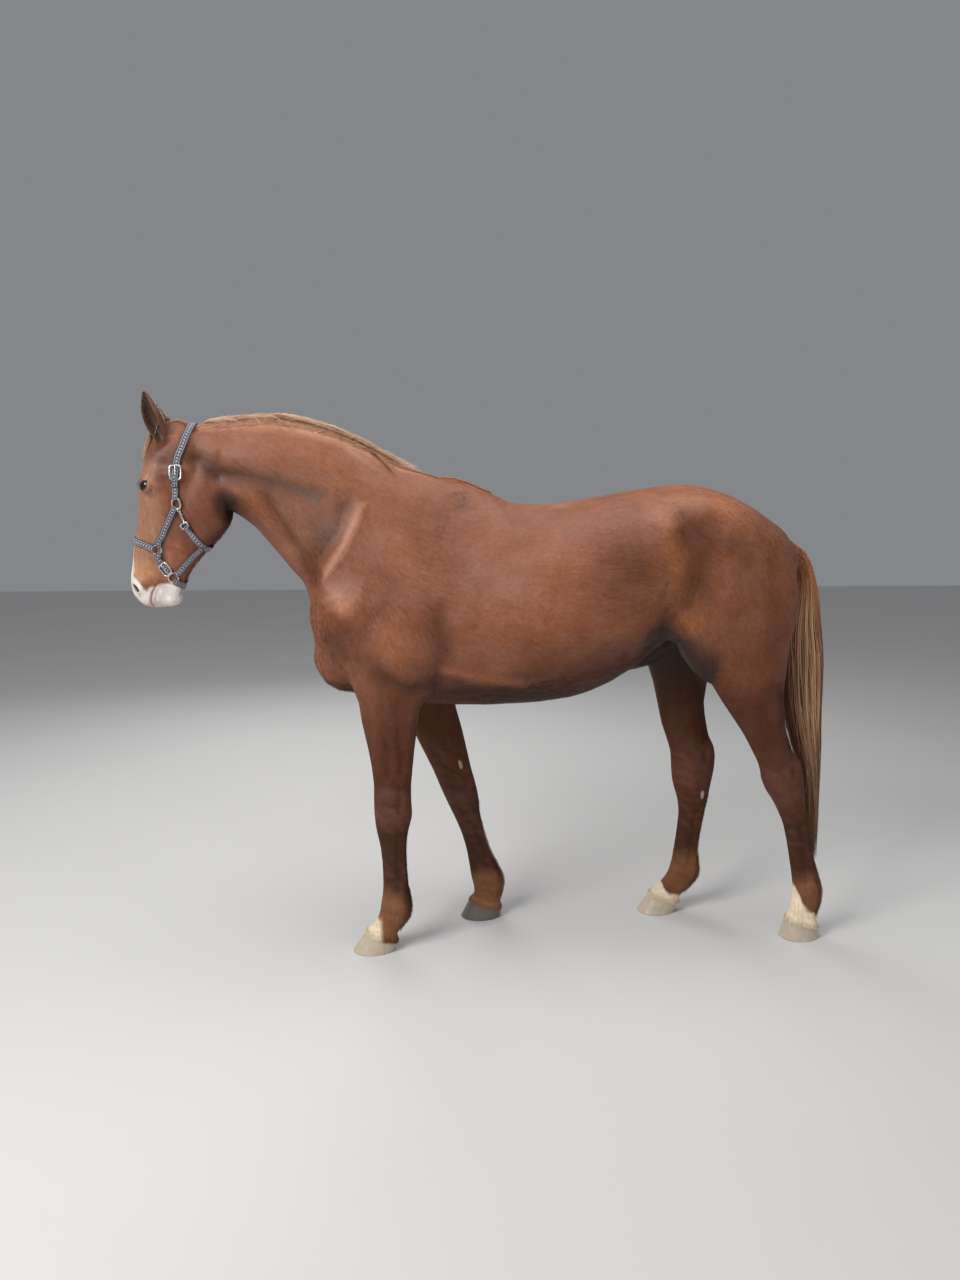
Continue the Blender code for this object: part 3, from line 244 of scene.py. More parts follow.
# The forms that are fused into one skin.
skinForm = {
    "voxel": 0.0046,
    "firstSmoothing": 15,
    "trunkSmoothing": 56,
    "lastSmoothing": 5,
    "coatDepth": 0.0022,
    "triangles": 176000,
    # x, top, bottom, half width, shape
    "trunk": [
        (-58.8, 125, 109, 7, (2, 2, 0)),
        (-56.5, 131, 101, 14, (2.2, 2.2, 0)),
        (-52, 139, 95.5, 18, (2.1, 2.2, 0)),
        (-44, 150, 91, 20.5, (2, 2.1, -0.05)),
        (-33, 160, 88.5, 22, (1.8, 2, -0.12)),
        (-20, 167.2, 87.3, 23.2, (1.55, 2, -0.2)),
        (-9, 167.9, 87, 25, (1.45, 2, -0.22)),
        (2, 163.5, 87, 27.2, (1.6, 2.1, -0.2)),
        (10, 159.6, 87.2, 28.8, (1.85, 2.1, -0.14)),
        (20, 158.6, 87.8, 30, (2, 2.1, -0.1)),
        (36, 160.6, 90.5, 30.6, (2.05, 2.1, -0.06)),
        (50, 162.8, 97, 29.2, (2.1, 2.1, 0)),
        (62, 164.8, 105.5, 27.2, (2.1, 2, 0.1)),
        (75, 165.6, 112, 25.6, (2.1, 2, 0.15)),
        (86, 162.8, 114, 24, (2.1, 2, 0.15)),
        (95, 158.8, 114, 21.5, (2.1, 2, 0.1)),
        (102, 154.6, 115, 18, (2, 2, 0)),
        (108, 150.4, 118, 13, (2, 2, 0)),
        (112.5, 146, 124, 7, (2, 2, 0)),
    ],
    # crest x, z; throat x, z; half width
    "neck": [
        (-8, 165, -38, 104, 20.5),
        (-19, 169.2, -50, 111, 19),
        (-28, 172, -58.6, 120, 16.8),
        (-38.5, 177.3, -61.5, 129, 14.2),
        (-50, 182.8, -66.8, 136.2, 11.9),
        (-62, 186.2, -73.4, 144.4, 10),
        (-74, 187.4, -79.8, 151.6, 8.7),
        (-86, 186.2, -86.5, 156, 7.9),
        (-96, 185.4, -92.5, 160, 7.4),
        (-103, 184.6, -98, 164, 6.4),
    ],
    # face x, z; back x, z; half width
    "head": [
        (-108.5, 187.2, -101, 186.4, 2.6),
        (-110.8, 184, -96, 182, 6),
        (-112.6, 180, -93, 176, 7.3),
        (-114.6, 173.5, -92, 168, 8.5),
        (-116.8, 167.4, -93, 161, 9.3),
        (-117.4, 160, -94, 154, 8.3),
        (-118.2, 153, -97, 148, 7),
        (-120, 144.5, -101.5, 141, 5.6),
        (-121.1, 137.6, -104.5, 134, 4.9),
        (-121.8, 132.4, -106, 128.5, 5.2),
        (-121.3, 128.6, -107.5, 125.6, 5.2),
        (-118.8, 125.2, -109, 123.8, 4.2),
        (-116.2, 123.2, -111, 122.6, 2.2),
    ],
    # inner x, z; lower border x, z; half thickness, y
    "jaw": [
        (-97, 173, -88.5, 169, 1.8, 6),
        (-100, 163, -86.6, 160.5, 2.5, 5.9),
        (-101, 155, -86.8, 153.2, 2.7, 5.6),
        (-104, 149, -91.2, 146.6, 2.5, 4.9),
        (-107, 144, -96.4, 141.4, 2.2, 4.1),
        (-110, 138, -100.8, 136, 2, 3.3),
        (-111, 132.5, -103.4, 130.6, 1.9, 2.6),
        (-112, 128.5, -104.9, 126.8, 1.9, 1.9),
    ],
    # centre, radii, pitch
    "bodyMasses": [
        ((-47.5, 10.5, 121), (12, 9.6, 17), 0),  # point of the shoulder
        ((-31, 14, 112), (15, 8.6, 18), 0),  # triceps
        ((-23, 13.6, 100), (7, 5.6, 11), 0),  # elbow
        ((-46.5, 7, 107), (12, 8.5, 14), 14),  # breast
        ((97, 11.6, 128), (14.5, 10.5, 25), -8),  # hamstring
        ((104.5, 8, 139), (8, 6.5, 10), -20),  # point of the buttock
        ((84, 16.2, 130), (18, 10.2, 22), 0),  # thigh
    ],
    # side, centre, radii, pitch: each leg's own stifle and flank fold
    "stifles": [
        (-1, (77.5, 14.4, 113), (10.5, 9.4, 19), -24),
        (1, (70.5, 14.4, 113), (10.5, 9.4, 19), -4),
        (-1, (67, 15, 121), (9, 7, 11), -35),
        (1, (64, 15, 121), (9, 7, 11), -35),
    ],
    "underFlank": ((59, 0, 104.5), (12, 5.0, 5.0), -22),
    "headMasses": [
        ((-97.4, 5.6, 158.5), (9.8, 3, 12), 12),  # cheek
        ((-110.4, 6.8, 165.4), (5.4, 3.4, 5), 0),  # orbit
        ((-117.3, 3.4, 130), (3.4, 2.1, 4.4), 12),  # nostril
        ((-114.5, 2.4, 126.8), (4.8, 3, 3.6), 0),  # upper lip
        ((-108.6, 1.2, 126.2), (4.4, 2.9, 3.3), 0),  # chin
    ],
    # side, and height: (front x, rear x, half width, y)
    "legs": {
        "foreLeft": (-1, {
            118: (-50, -22, 5, 14), 106: (-48, -18, 6.6, 14.6), 97: (-45.6, -19, 6.6, 14.8),
            91: (-43.6, -21.2, 6.2, 14.4), 84: (-42.5, -22.5, 5.9, 14), 77: (-41, -23.4, 5.4, 13.7),
            66: (-39.2, -24.6, 4.6, 13.4), 60: (-38.7, -25.1, 4.6, 13.3), 55: (-38.8, -25.1, 5.2, 13.3),
            49.5: (-38.6, -24.9, 5.3, 13.2), 45: (-38.1, -26.1, 4.5, 13.1), 39: (-36.9, -27, 3.4, 13),
            30: (-36.1, -26.8, 2.9, 13), 22.5: (-36.1, -26.2, 3.2, 13), 16.8: (-36.9, -25.3, 4, 13),
            13: (-37.6, -25.7, 3.9, 13), 9.5: (-39.6, -28, 3.6, 13), 6: (-41.8, -30.5, 4.4, 13),
            2: (-43.2, -32.2, 4.4, 13),
        }),
        "foreRight": (1, {
            118: (-47, -18, 5, 14), 106: (-43, -12, 6.6, 14.6), 97: (-38.5, -10, 6.6, 14.8),
            90: (-33.5, -9.2, 6.2, 14.4), 82: (-28.8, -7.8, 5.9, 14), 74: (-24.8, -5.7, 5.4, 13.7),
            66: (-21, -3.9, 4.6, 13.4), 58.5: (-17.4, -2.2, 4.6, 13.3), 52.6: (-15, -0.6, 5.2, 13.3),
            47.5: (-12.8, 0.4, 5.3, 13.2), 42.5: (-10.5, 0.8, 4.5, 13.1), 35.4: (-7.4, 2.4, 3.4, 13),
            28: (-5.1, 4.8, 2.9, 13), 20.6: (-3.7, 8, 3.3, 13), 15.5: (-2.9, 10.2, 4, 13),
            11.5: (-1.9, 10, 3.8, 13), 8.2: (-1.9, 9.2, 3.6, 13), 5: (-2.8, 8.8, 4.4, 13),
            2: (-3.6, 8.6, 4.4, 13),
        }),
        "hindLeft": (-1, {
            146: (68, 98, 6, 14), 136: (67, 107, 8.6, 14.6), 127: (67.5, 110.6, 10.2, 14.8),
            118: (66.5, 109.6, 10.2, 14.6), 108: (71.6, 108.2, 9.4, 14.2), 100: (78, 107.8, 8.2, 13.8),
            92: (82.8, 107.4, 7.1, 13.6), 84: (88.4, 108.2, 6.1, 13.4), 77: (93.2, 109.6, 5.3, 13.2),
            70.5: (96.8, 112, 4.8, 13.1), 65.5: (99.3, 115.3, 4.9, 13), 60: (100.6, 116.2, 5.1, 13),
            56: (102.4, 116.8, 5.2, 13), 52: (105.1, 117.2, 4.8, 13), 48: (107.2, 117.8, 4.1, 13),
            44: (109, 118.8, 3.6, 13), 37: (110.8, 120.4, 3.1, 13), 30: (112.2, 121.9, 3, 13),
            23.5: (113.4, 124, 3.4, 13), 17.8: (114.2, 125.3, 4.1, 13), 14: (113.9, 125.2, 4, 13),
            10: (113.2, 124.2, 3.7, 13), 6.5: (112.4, 123.7, 4.4, 13), 2: (112, 123.2, 4.4, 13),
        }),
        "hindRight": (1, {
            146: (66, 96, 6, 14), 136: (64.5, 103, 8.6, 14.6), 127: (62.5, 105, 10.2, 14.8),
            118: (61.5, 102.5, 10.2, 14.6), 108: (62.2, 97.5, 9.2, 14.2), 100: (63.8, 92.4, 8.2, 13.8),
            92: (66.4, 88.2, 7.1, 13.6), 84: (68.3, 87, 6.1, 13.4), 76.5: (70, 87.9, 5.3, 13.2),
            70: (72, 89.5, 4.8, 13.1), 64.7: (73.8, 91.6, 4.9, 13), 60: (74.3, 91.9, 5.1, 13),
            55: (74.7, 91.3, 5.2, 13), 50: (75.7, 90.4, 4.8, 13), 46: (77, 89.8, 4.1, 13),
            42: (77.7, 89, 3.6, 13), 33: (77.3, 87.6, 3.1, 13), 25: (76.3, 86.6, 3.1, 13),
            19.5: (75.5, 87, 3.8, 13), 15.3: (74.2, 87.3, 4, 13), 11.2: (71.2, 85, 3.7, 13),
            7: (67.6, 80.8, 4.3, 13), 2: (65.2, 77.8, 4.4, 13),
        }),
    },
}

# Forms on the fused body.  Swells: x, z, radius along, radius across, pitch, height.
# Lines: points in the side view, half width, height.
relief = {
    "swells": [
        (-47, 124, 8, 10, 0, 0.9), (-30, 112, 10, 14, 20, 1.3), (-19, 98, 4, 6, 0, 0.6),
        (-28, 139, 8, 15, 40, 0.7), (-56, 149, 8, 12, 30, -1), (-80, 175, 16, 4, -8, 0.5),
        (-49, 112, 7, 8, 0, -0.7), (-6, 159, 7, 5, 0, -0.8), (-82, 176, 6, 3, -10, -0.3),
        (46, 135, 17, 20, 0, -0.9), (60, 154, 6.5, 8, 0, 0.7), (69, 148, 9, 12, 0, -0.6),
        (80, 157, 14, 8, -8, 0.8), (88, 140, 9, 13, 0, -0.6), (95, 124, 11, 19, 0, 0.8),
        (73, 116, 7, 10, 0, 0.8), (-86.5, 157, 5.5, 9, 20, -0.6), (-96.5, 159, 9, 11, 12, 0.8),
        (-107.3, 171.5, 3.6, 3.4, 0, -0.35), (-116.2, 144, 2.4, 8, 10, -0.35),
        (-116.6, 130.8, 3.2, 4.6, 10, 0.45), (20, 122, 34, 26, 0, 0.5),
    ],
    "lines": [
        ([(-74, 161), (-67, 150), (-60, 140), (-57, 132)], 2.8, -0.85),  # jugular groove
        ([(-87.3, 162.3), (-77.1, 158.9), (-70.9, 150.2), (-66.2, 143.8)], 2.8, 0.4),  # gullet muscle
        ([(-95, 173), (-89.3, 168.7), (-76.8, 167.9), (-65.6, 164.8), (-55.3, 160.8)], 3.2, -0.8),
        ([(-41.5, 158), (-44.4, 149.5), (-49.1, 141.3), (-55.3, 132.1)], 1.6, 0.65),  # shoulder's edge
        ([(-46.5, 160), (-50, 150), (-56, 141)], 3.2, -0.6),
        ([(-16.6, 122), (-13.6, 110), (-17.5, 100)], 4, -0.85),  # behind the triceps
        ([(-36, 101), (-25.2, 96.3), (-17.8, 97.5)], 2.6, -0.6),
        ([(-14, 103), (-1.5, 100.5), (12.2, 98.6)], 1.8, 0.5),  # girth
        ([(61, 148), (63.6, 140), (65.4, 126), (68.4, 119)], 3.2, 0.5),  # flank fold
        ([(70, 146), (71.5, 136), (72.5, 126)], 4.2, -0.55),
        ([(79, 146), (81, 136), (82, 124)], 4, 0.35),
        ([(100, 141), (98.6, 122), (100, 108)], 3.4, -0.5),
        ([(-113.2, 160), (-111.6, 154), (-110.8, 146)], 1, 0.6),  # facial crest
        ([(-110, 168.4), (-104, 168.6), (-99, 170)], 1.6, 0.4),  # arch of the cheek
        ([(-88, 176), (-89.2, 168)], 2, -0.3),  # behind the jaw
        ([(-30, 133), (-36, 122), (-41, 111)], 4.2, -0.5),  # between shoulder and triceps
        ([(-50, 168), (-62, 172), (-76, 176)], 2.6, -0.35),  # under the crest
        ([(-105, 163), (-102.5, 154), (-99.5, 148)], 1.1, -0.4),  # front of the cheek muscle
        ([(-109, 149), (-105.5, 144.5), (-101, 142)], 0.55, 0.3),  # facial vein
        ([(-115.2, 141), (-111.5, 138), (-109, 134.5)], 1.4, -0.35),
        ([(-6, 98), (6, 103), (22, 105), (36, 110)], 0.7, 0.25),  # vein along the belly
    ],
    # side, x, z, reach along and across, pitch, height: the joints and muscles of each leg
    "legSwells": [
        (-1, -32.5, 57.6, 5.6, 3.2, 0, 0.42), (-1, -32.8, 51.4, 5, 2.8, 0, 0.34),
        (-1, -26.6, 56, 2, 3.4, 0, 0.35), (-1, -31, 18, 4.4, 3.8, 0, 0.35),
        (-1, -27.2, 17.6, 2, 2.6, 0, 0.3), (-1, -35.5, 88, 5.5, 13, 0, 0.6),
        (1, -9.2, 56.6, 5.4, 3.2, -20, 0.42), (1, -7.2, 50.6, 5, 2.8, -20, 0.34),
        (1, -3.2, 53.4, 2, 3.4, -20, 0.35), (1, 2.6, 17.6, 4.4, 3.8, 0, 0.35),
        (1, 6.8, 17.4, 2, 2.6, 0, 0.3), (1, -25, 86, 5.5, 12, -25, 0.5), (1, -6.9, 61.4, 0.9, 2, -15, 0.4),
        (1, 86.2, 47.7, 0.8, 1.9, 0, 0.4), (-1, 113.6, 66, 2.4, 4.2, 0, 0.45),
        (-1, 106, 59, 4.8, 4.6, 0, 0.45), (-1, 111.3, 63.5, 1.9, 4, 10, -0.6),
        (-1, 109, 53, 3.8, 3, 0, 0.3), (-1, 119.4, 19, 4.4, 3.8, 0, 0.35), (-1, 123, 18.4, 2, 2.6, 0, 0.3),
        (-1, 92, 94, 7, 13, -25, 0.6), (1, 89.6, 66, 2.4, 4.2, 0, 0.45), (1, 80.6, 59, 4.8, 4.6, 0, 0.45),
        (1, 86.6, 63, 1.9, 4, 10, -0.6), (1, 82, 52.5, 3.8, 3, 0, 0.3), (1, 80.8, 19, 4.4, 3.8, 0, 0.35),
        (1, 84.8, 18.4, 2, 2.6, 0, 0.3),
    ],
    # side, points, half width, height: grooves and cords of each leg
    "legLines": [
        (-1, [(-30.2, 43), (-30.2, 22)], 0.9, -0.45),
        (1, [(-1.4, 39), (3.6, 20)], 0.9, -0.45),
        (-1, [(115, 43), (118.4, 22)], 0.9, -0.45),
        (1, [(84, 40), (82, 20)], 0.9, -0.45),
        (-1, [(-27.9, 42), (-28, 24)], 0.6, 0.3),
        (1, [(0.6, 38), (5.6, 21)], 0.6, 0.3),
        (-1, [(117.2, 43), (120.6, 23)], 0.6, 0.3),
        (1, [(86.4, 40), (84.6, 20)], 0.6, 0.3),
        (-1, [(-36, 98), (-34.5, 82), (-33, 66)], 1.3, -0.55),  # between the forearm muscles
        (-1, [(-30.5, 94), (-29, 80), (-28.6, 66)], 1.1, -0.4),
        (1, [(-27, 92), (-20, 74), (-15, 64)], 1.3, -0.5),
        (-1, [(103.4, 95), (107.4, 82), (111.4, 71)], 1.5, -1.2),  # in front of the hock's great tendon
        (1, [(82.4, 92), (85, 79), (87.4, 70)], 1.5, -1.2),
        (-1, [(-38.6, 54.6), (-33, 54.1), (-26, 54.8)], 0.8, -0.36),  # joints of the knee
        (-1, [(-38, 61.6), (-26, 60.8)], 1.2, -0.3),
        (-1, [(-29.3, 60), (-29.5, 52)], 0.9, -0.4),
        (1, [(-15.5, 54.6), (-9, 53.6), (-1.5, 52.4)], 0.8, -0.36),
        (1, [(-5.8, 58), (-4.4, 50)], 0.9, -0.4),
        (-1, [(103.5, 64), (108, 57.5), (110.5, 51)], 1.5, 0.3),  # hock bones
        (-1, [(100.5, 63), (106, 64.5), (110, 68)], 1.3, -0.35),
        (1, [(77.5, 64), (81, 58), (83, 51)], 1.5, 0.3),
        (-1, [(-33.6, 14.6), (-28.4, 13.2)], 1.1, -0.3),
        (-1, [(117.5, 15.2), (122, 13.4)], 1.1, -0.3),
        (1, [(1.5, 14.2), (7.5, 13)], 1.1, -0.3),
        (1, [(78, 15), (84, 13.6)], 1.1, -0.3),
    ],
    # across y, height z, half width, height, x from and to: forms of the chest and the rump
    "endLines": [
        ([(0, 131), (0, 96)], 2.8, -1.5, -70, -38),
        ([(0, 136), (0, 104)], 2.6, -2.2, 95, 125),
        ([(-9, 128), (-8, 104)], 4, 0.5, -70, -38),
        ([(9, 128), (8, 104)], 4, 0.5, -70, -38),
    ],
    "ribs": {"from": 8, "to": 47, "count": 9, "height": 0.09, "halfWidth": 1.7},
    "turnAway": 1.6,  # how soon a form gives way where the body turns from the view
    "legTop": 62,
}

# along the ear: x, y, z, half width, depth of the cup, turn of the opening
earForm = {
    "rows": [
        (-104.2, 4.4, 174, 2.4, 2.2, 42),
        (-105.6, 4.8, 176.6, 2.7, 2.3, 42),
        (-107.6, 5.3, 180, 3, 2.6, 42),
        (-109.2, 5.8, 183.4, 3.9, 3.2, 42),
        (-110.5, 6.2, 186.9, 4.3, 3.3, 42),
        (-111.6, 6.5, 190.4, 3.6, 2.7, 44),
        (-112.2, 6.7, 193.3, 2.2, 1.6, 46),
        (-112.6, 6.6, 195.6, 0.6, 0.6, 48),
    ],
    "wall": 0.5,
    "up": (-0.33, 0.10, 0.94),
    "farEarForward": 2.6,
}


def earFrame(row, side):
    x, y, z, width, depth, turn = row
    up = mirrored(earForm["up"], side).normalized()
    facing = Vector((-math.sin(math.radians(turn)), side * math.cos(math.radians(turn)), -0.3))
    facing = (facing - up * facing.dot(up)).normalized()
    if side > 0:
        x -= earForm["farEarForward"] * between(176, 196, z)
    return Vector((x, side * y, z)), up, facing, up.cross(facing), width, depth


def earFrames(side, count):
    return [earFrame(row, side) for row in smoothRows(earForm["rows"], count)]


def openSide(angle):
    # the ear's back is round, its open side flatter
    return 1.0 if math.cos(angle) > 0 else 0.55


def addEar(bm, side):
    loops = []
    for base, _, facing, across, width, depth in earFrames(side, 16):
        loops.append(ringOf(bm, [
            base - facing * math.cos(angle) * depth * openSide(angle) + across * math.sin(angle) * width
            for angle in around(20)
        ]))
    joinLoops(bm, loops)


def reliefHeight(place, normal):
    x, y, z = place.T
    sideways = np.clip(np.abs(normal[:, 1]) * relief["turnAway"], 0, 1)
    endways = np.clip(np.abs(normal[:, 0]) * relief["turnAway"], 0, 1)
    upper = sideways * (z > relief["legTop"])
    height = np.zeros(len(x))
    swells = [(0, *swell) for swell in relief["swells"]] + relief["legSwells"]
    for side, cx, cz, along, across, pitch, rise in swells:
        u, v = fromOval(x, z, cx, cz, pitch)
        where = upper if side == 0 else sideways * (y * side > 5)
        height += rise * np.clip(1 - (u / along) ** 2 - (v / across) ** 2, 0, 1) ** 2 * where
    for points, width, rise in relief["lines"]:
        height += rise * nearPath(x, z, points, width) * upper
    ribs = relief["ribs"]
    for rib in np.linspace(ribs["from"], ribs["to"], ribs["count"]):
        path = [(rib, 148), (rib + 5, 126), (rib + 3, 106)]
        height += ribs["height"] * nearPath(x, z, path, ribs["halfWidth"]) * upper
    for side, points, width, rise in relief["legLines"]:
        height += rise * nearPath(x, z, points, width) * (y * side > 5) * sideways
    for points, width, rise, low, high in relief["endLines"]:
        height += rise * nearPath(y, z, points, width) * endways * ((x > low) & (x < high))
    return height


def modifier(piece, kind, **settings):
    made = piece.modifiers.new(kind.title(), kind)
    for key, value in settings.items():
        setattr(made, key, value)


def weigh(piece, name, weights):
    group = piece.vertex_groups.new(name=name)
    for share in range(1, 11):
        chosen = np.nonzero(np.round(weights * 10) == share)[0]
        if len(chosen):
            group.add(chosen.tolist(), share / 10, "REPLACE")
    return group.name


def buildSkin():
    bm = bmesh.new()
    rows = [(x, top, x, low, width, 0, shape) for x, top, low, width, shape in skinForm["trunk"]]
    loft(bm, rows, rings=60, ringPoints=40)
    for centre, radii, pitch in skinForm["bodyMasses"]:
        for side in (-1, 1):
            mass(bm, centre, radii, pitch, side)
    for side, centre, radii, pitch in skinForm["stifles"]:
        mass(bm, centre, radii, pitch, side)
    mass(bm, *skinForm["underFlank"])
    loft(bm, [(*row, 0) for row in skinForm["neck"]], shape=(1.75, 2.2, -0.18), rings=48, ringPoints=36)
    loft(bm, [(*row, 0) for row in skinForm["head"]], shape=(2.5, 2.2, 0.05), rings=60, ringPoints=36)
    for side in (-1, 1):
        loft(bm, skinForm["jaw"], side, shape=(2.0, 2.2, 0.0), rings=34, ringPoints=20)
        for centre, radii, pitch in skinForm["headMasses"]:
            mass(bm, centre, radii, pitch, side)
        addEar(bm, side)
    for side, stations in skinForm["legs"].values():
        rows = [(front, z, rear, z, width, y) for z, (front, rear, width, y) in stations.items()]
        loft(bm, rows, side, (2.1, 2.1, 0.0), rings=90, ringPoints=28)
    skin = makeObject("skin", bm)
    modifier(skin, "REMESH", mode="VOXEL", voxel_size=skinForm["voxel"])
    modifier(skin, "SMOOTH", factor=0.6, iterations=skinForm["firstSmoothing"])
    applyModifiers(skin)
    x, _, z = (meshArrays(skin.data)[0] / cm).T
    trunk = weigh(skin, "trunk", np.clip((x + 70) / 14, 0, 1) * np.clip((z - 78) / 16, 0, 1))
    modifier(skin, "SMOOTH", factor=0.6, iterations=skinForm["trunkSmoothing"], vertex_group=trunk)
    applyModifiers(skin)
    place, normal = meshArrays(skin.data)
    place += normal * reliefHeight(place / cm, normal)[:, None] * cm
    setPlaces(skin.data, place)
    modifier(skin, "SMOOTH", factor=0.5, iterations=skinForm["lastSmoothing"])
    applyModifiers(skin)
    print("skin: fused", len(skin.data.polygons), "quads")
    return skin


def thinSkin(skin):
    # the head and the lower legs keep their fine grain, the broad trunk gives up most of its faces
    place, normal = meshArrays(skin.data)
    place -= normal * skinForm["coatDepth"]
    setPlaces(skin.data, place)
    x, _, z = (place / cm).T
    broad = 1 - 0.92 * np.clip((-x - 84) / 10, 0, 1) - 0.7 * np.clip((70 - z) / 12, 0, 1)
    skin.vertex_groups.clear()
    group = weigh(skin, "broad", np.clip(broad, 0, 1))
    ratio = skinForm["triangles"] / (2 * len(skin.data.polygons))
    modifier(skin, "DECIMATE", vertex_group=group, vertex_group_factor=1.0, ratio=ratio)
    applyModifiers(skin)
    skin.vertex_groups.clear()
    print("skin: thinned to", len(skin.data.polygons))


# Eyes, nostrils, lips and ears.  The offsets of the lids are heights over the eyeball.
eyeForm = {
    "halfLength": 1.95, "upper": 1.2, "lower": 0.98, "lid": 0.28, "behind": 0.6,
    "cover": 0.16, "leastCover": 0.18, "reach": 6.5,
}
nostrilForm = {
    "aim": (-117.4, 3.2, 130.2), "from": (-0.72, 0.69, 0.0), "along": (0.62, 0.5, -0.72),
    "halfLength": 2.1, "halfWidth": 0.8, "depth": 1.5, "reach": 4.2,
}
mouthForm = {
    "path": [(-113.4, 121.5), (-114.1, 125.4), (-113.5, 128.4), (-112.0, 130.8)], "depth": 0.42, "width": 0.17,
}
# centre, radius and the length of edge wanted there
fineZones = [
    ((-117.0, 3.6, 130.0), 3.2, 0.24), ((-113.2, 3.2, 126.6), 5.0, 0.35), ((-110.2, 6.0, 187.4), 9.6, 0.44),
]
nostrilPlaces = {}


def eyeFrame(side):
    centre = mirrored(eyeball["centre"], side)
    out = mirrored((-0.38, 0.92, 0.06), side).normalized()
    nose = Vector((-0.5, 0, -0.87))
    nose = (nose - out * nose.dot(out)).normalized()
    brow = out.cross(nose)
    if brow.x > 0:
        brow = -brow
    return centre, out, nose, brow


def lidEdge(u):
    open_ = max(0.0, 1 - (u / eyeForm["halfLength"]) ** 2)
    return eyeForm["upper"] * open_**0.7, -eyeForm["lower"] * open_**0.8


def insideEye(u, v):
    # distance within the opening of the lids, negative outside it
    top, low = lidEdge(u)
    if abs(u) < eyeForm["halfLength"]:
        return min(top - v, v - low)
    return -math.hypot(abs(u) - eyeForm["halfLength"], v)


def shapeEye(verts, side):
    centre, out, nose, brow = eyeFrame(side)
    radius = eyeball["radius"]
    for vert in verts:
        away = vert.co / cm - centre
        distance = away.length
        if distance > eyeForm["reach"]:
            continue
        if away.dot(out) < 0.1 * distance:
            vert.co = (centre + away * max(1, (radius + eyeForm["cover"]) / distance)) * cm
            continue
        u = math.atan2(away.dot(nose), away.dot(out)) * radius
        v = math.atan2(away.dot(brow), away.dot(out)) * radius
        inside = insideEye(u, v)
        wanted = radius + eyeForm["lid"]
        if inside > 0:
            wanted -= (eyeForm["lid"] + eyeForm["behind"]) * between(0.0, 0.2, inside)
        elif v > 0:  # the fold of the upper lid
            wanted += 0.22 * bumpAt(inside, -1.5, 0.55) - 0.16 * bumpAt(inside, -0.78, 0.17)
        else:
            wanted += 0.06 * bumpAt(inside, -1.1, 0.4) - 0.08 * bumpAt(inside, -0.62, 0.16)
        wanted = distance + (wanted - distance) * (1 - between(0.7, 2.6, -inside))
        if inside <= 0:
            wanted = max(wanted, radius + eyeForm["leastCover"])
        vert.co = (centre + away * (wanted / distance)) * cm


def insideNostril(u, v, across):
    # 1 in the middle of the opening and 0 on its rim, for u in half lengths and v in cm
    v = v + 0.35 * u * u * (1 if across[2] > 0 else -1)
    return 1 - u * u - (v / (nostrilForm["halfWidth"] * (1.0 + 0.3 * u))) ** 2


def shapeNostril(verts, surface, side):
    toward = mirrored(nostrilForm["from"], side)
    start = (mirrored(nostrilForm["aim"], side) + toward * 12) * cm
    centre, normal, _, _ = surface.ray_cast(start, -toward)
    centre = centre / cm
    along = mirrored(nostrilForm["along"], side)
    along = (along - normal * along.dot(normal)).normalized()
    across = normal.cross(along)
    for vert in verts:
        away = vert.co / cm - centre
        if away.length > nostrilForm["reach"] or abs(away.dot(normal)) > 2.4 or vert.normal.dot(normal) < 0:
            continue
        inside = insideNostril(away.dot(along) / nostrilForm["halfLength"], away.dot(across), across)
        rise = -nostrilForm["depth"] * between(0.0, 0.75, inside)
        rise += 0.22 * bumpAt(inside, -0.25, 0.4)
        vert.co += normal * rise * cm
    return centre, normal, along, across


def shapeEar(verts, side):
    # stretches the ear back up to the tip that the smoothing took, and shapes its upper part into the cup of the
    # leaf
    rows = earFrames(side, 40)
    base, up = rows[9][0], rows[9][1]
    heights = [(vert.co / cm - base).dot(up) for vert in verts]
    stretch = (rows[-1][0] - base).dot(up) / max(heights)
    for vert, height in zip(verts, heights):
        place = vert.co / cm
        if height > 0:
            place += up * height * (stretch - 1)
        index = min(range(40), key=lambda i: abs((place - rows[i][0]).dot(rows[i][1])))
        middle, _, facing, across, width, depth = rows[index]
        away = place - middle
        u, w = away.dot(across), away.dot(facing)
        if index < 8 or math.hypot(u, w) > width + 2.4:
            continue
        angle = math.atan2(u / width, -w / depth)
        wanted = across * math.sin(angle) * width
        wanted -= facing * math.cos(angle) * depth * openSide(angle)
        vert.co = (place + (wanted - across * u - facing * w) * between(8, 15, index)) * cm


def carveEar(verts, side):
    rows = earFrames(side, 40)

    def farFrom(row, place):
        away = place - row[0]
        return abs(away.dot(row[1])) + 0.2 * away.length

    for vert in verts:
        place = vert.co / cm
        index = min(range(40), key=lambda i: farFrom(rows[i], place))
        base, _, facing, across, width, depth = rows[index]
        away = place - base
        if away.length > width + 1.6 or index < 6:
            continue
        u, w = away.dot(across) / (width - 0.12), away.dot(facing)
        share = between(-0.25, 0.1, w / depth) * (1 - between(0.72, 0.92, abs(u))) * between(6, 13, index)
        share *= 1 - between(37, 40, index)
        if share > 0:
            back = -depth * math.sqrt(max(0.0, 1 - u * u)) + earForm["wall"]
            vert.co = (place + facing * (min(back, w) - w) * share) * cm


def triangulate(bm):
    bmesh.ops.triangulate(bm, faces=[f for f in bm.faces if len(f.verts) > 3])


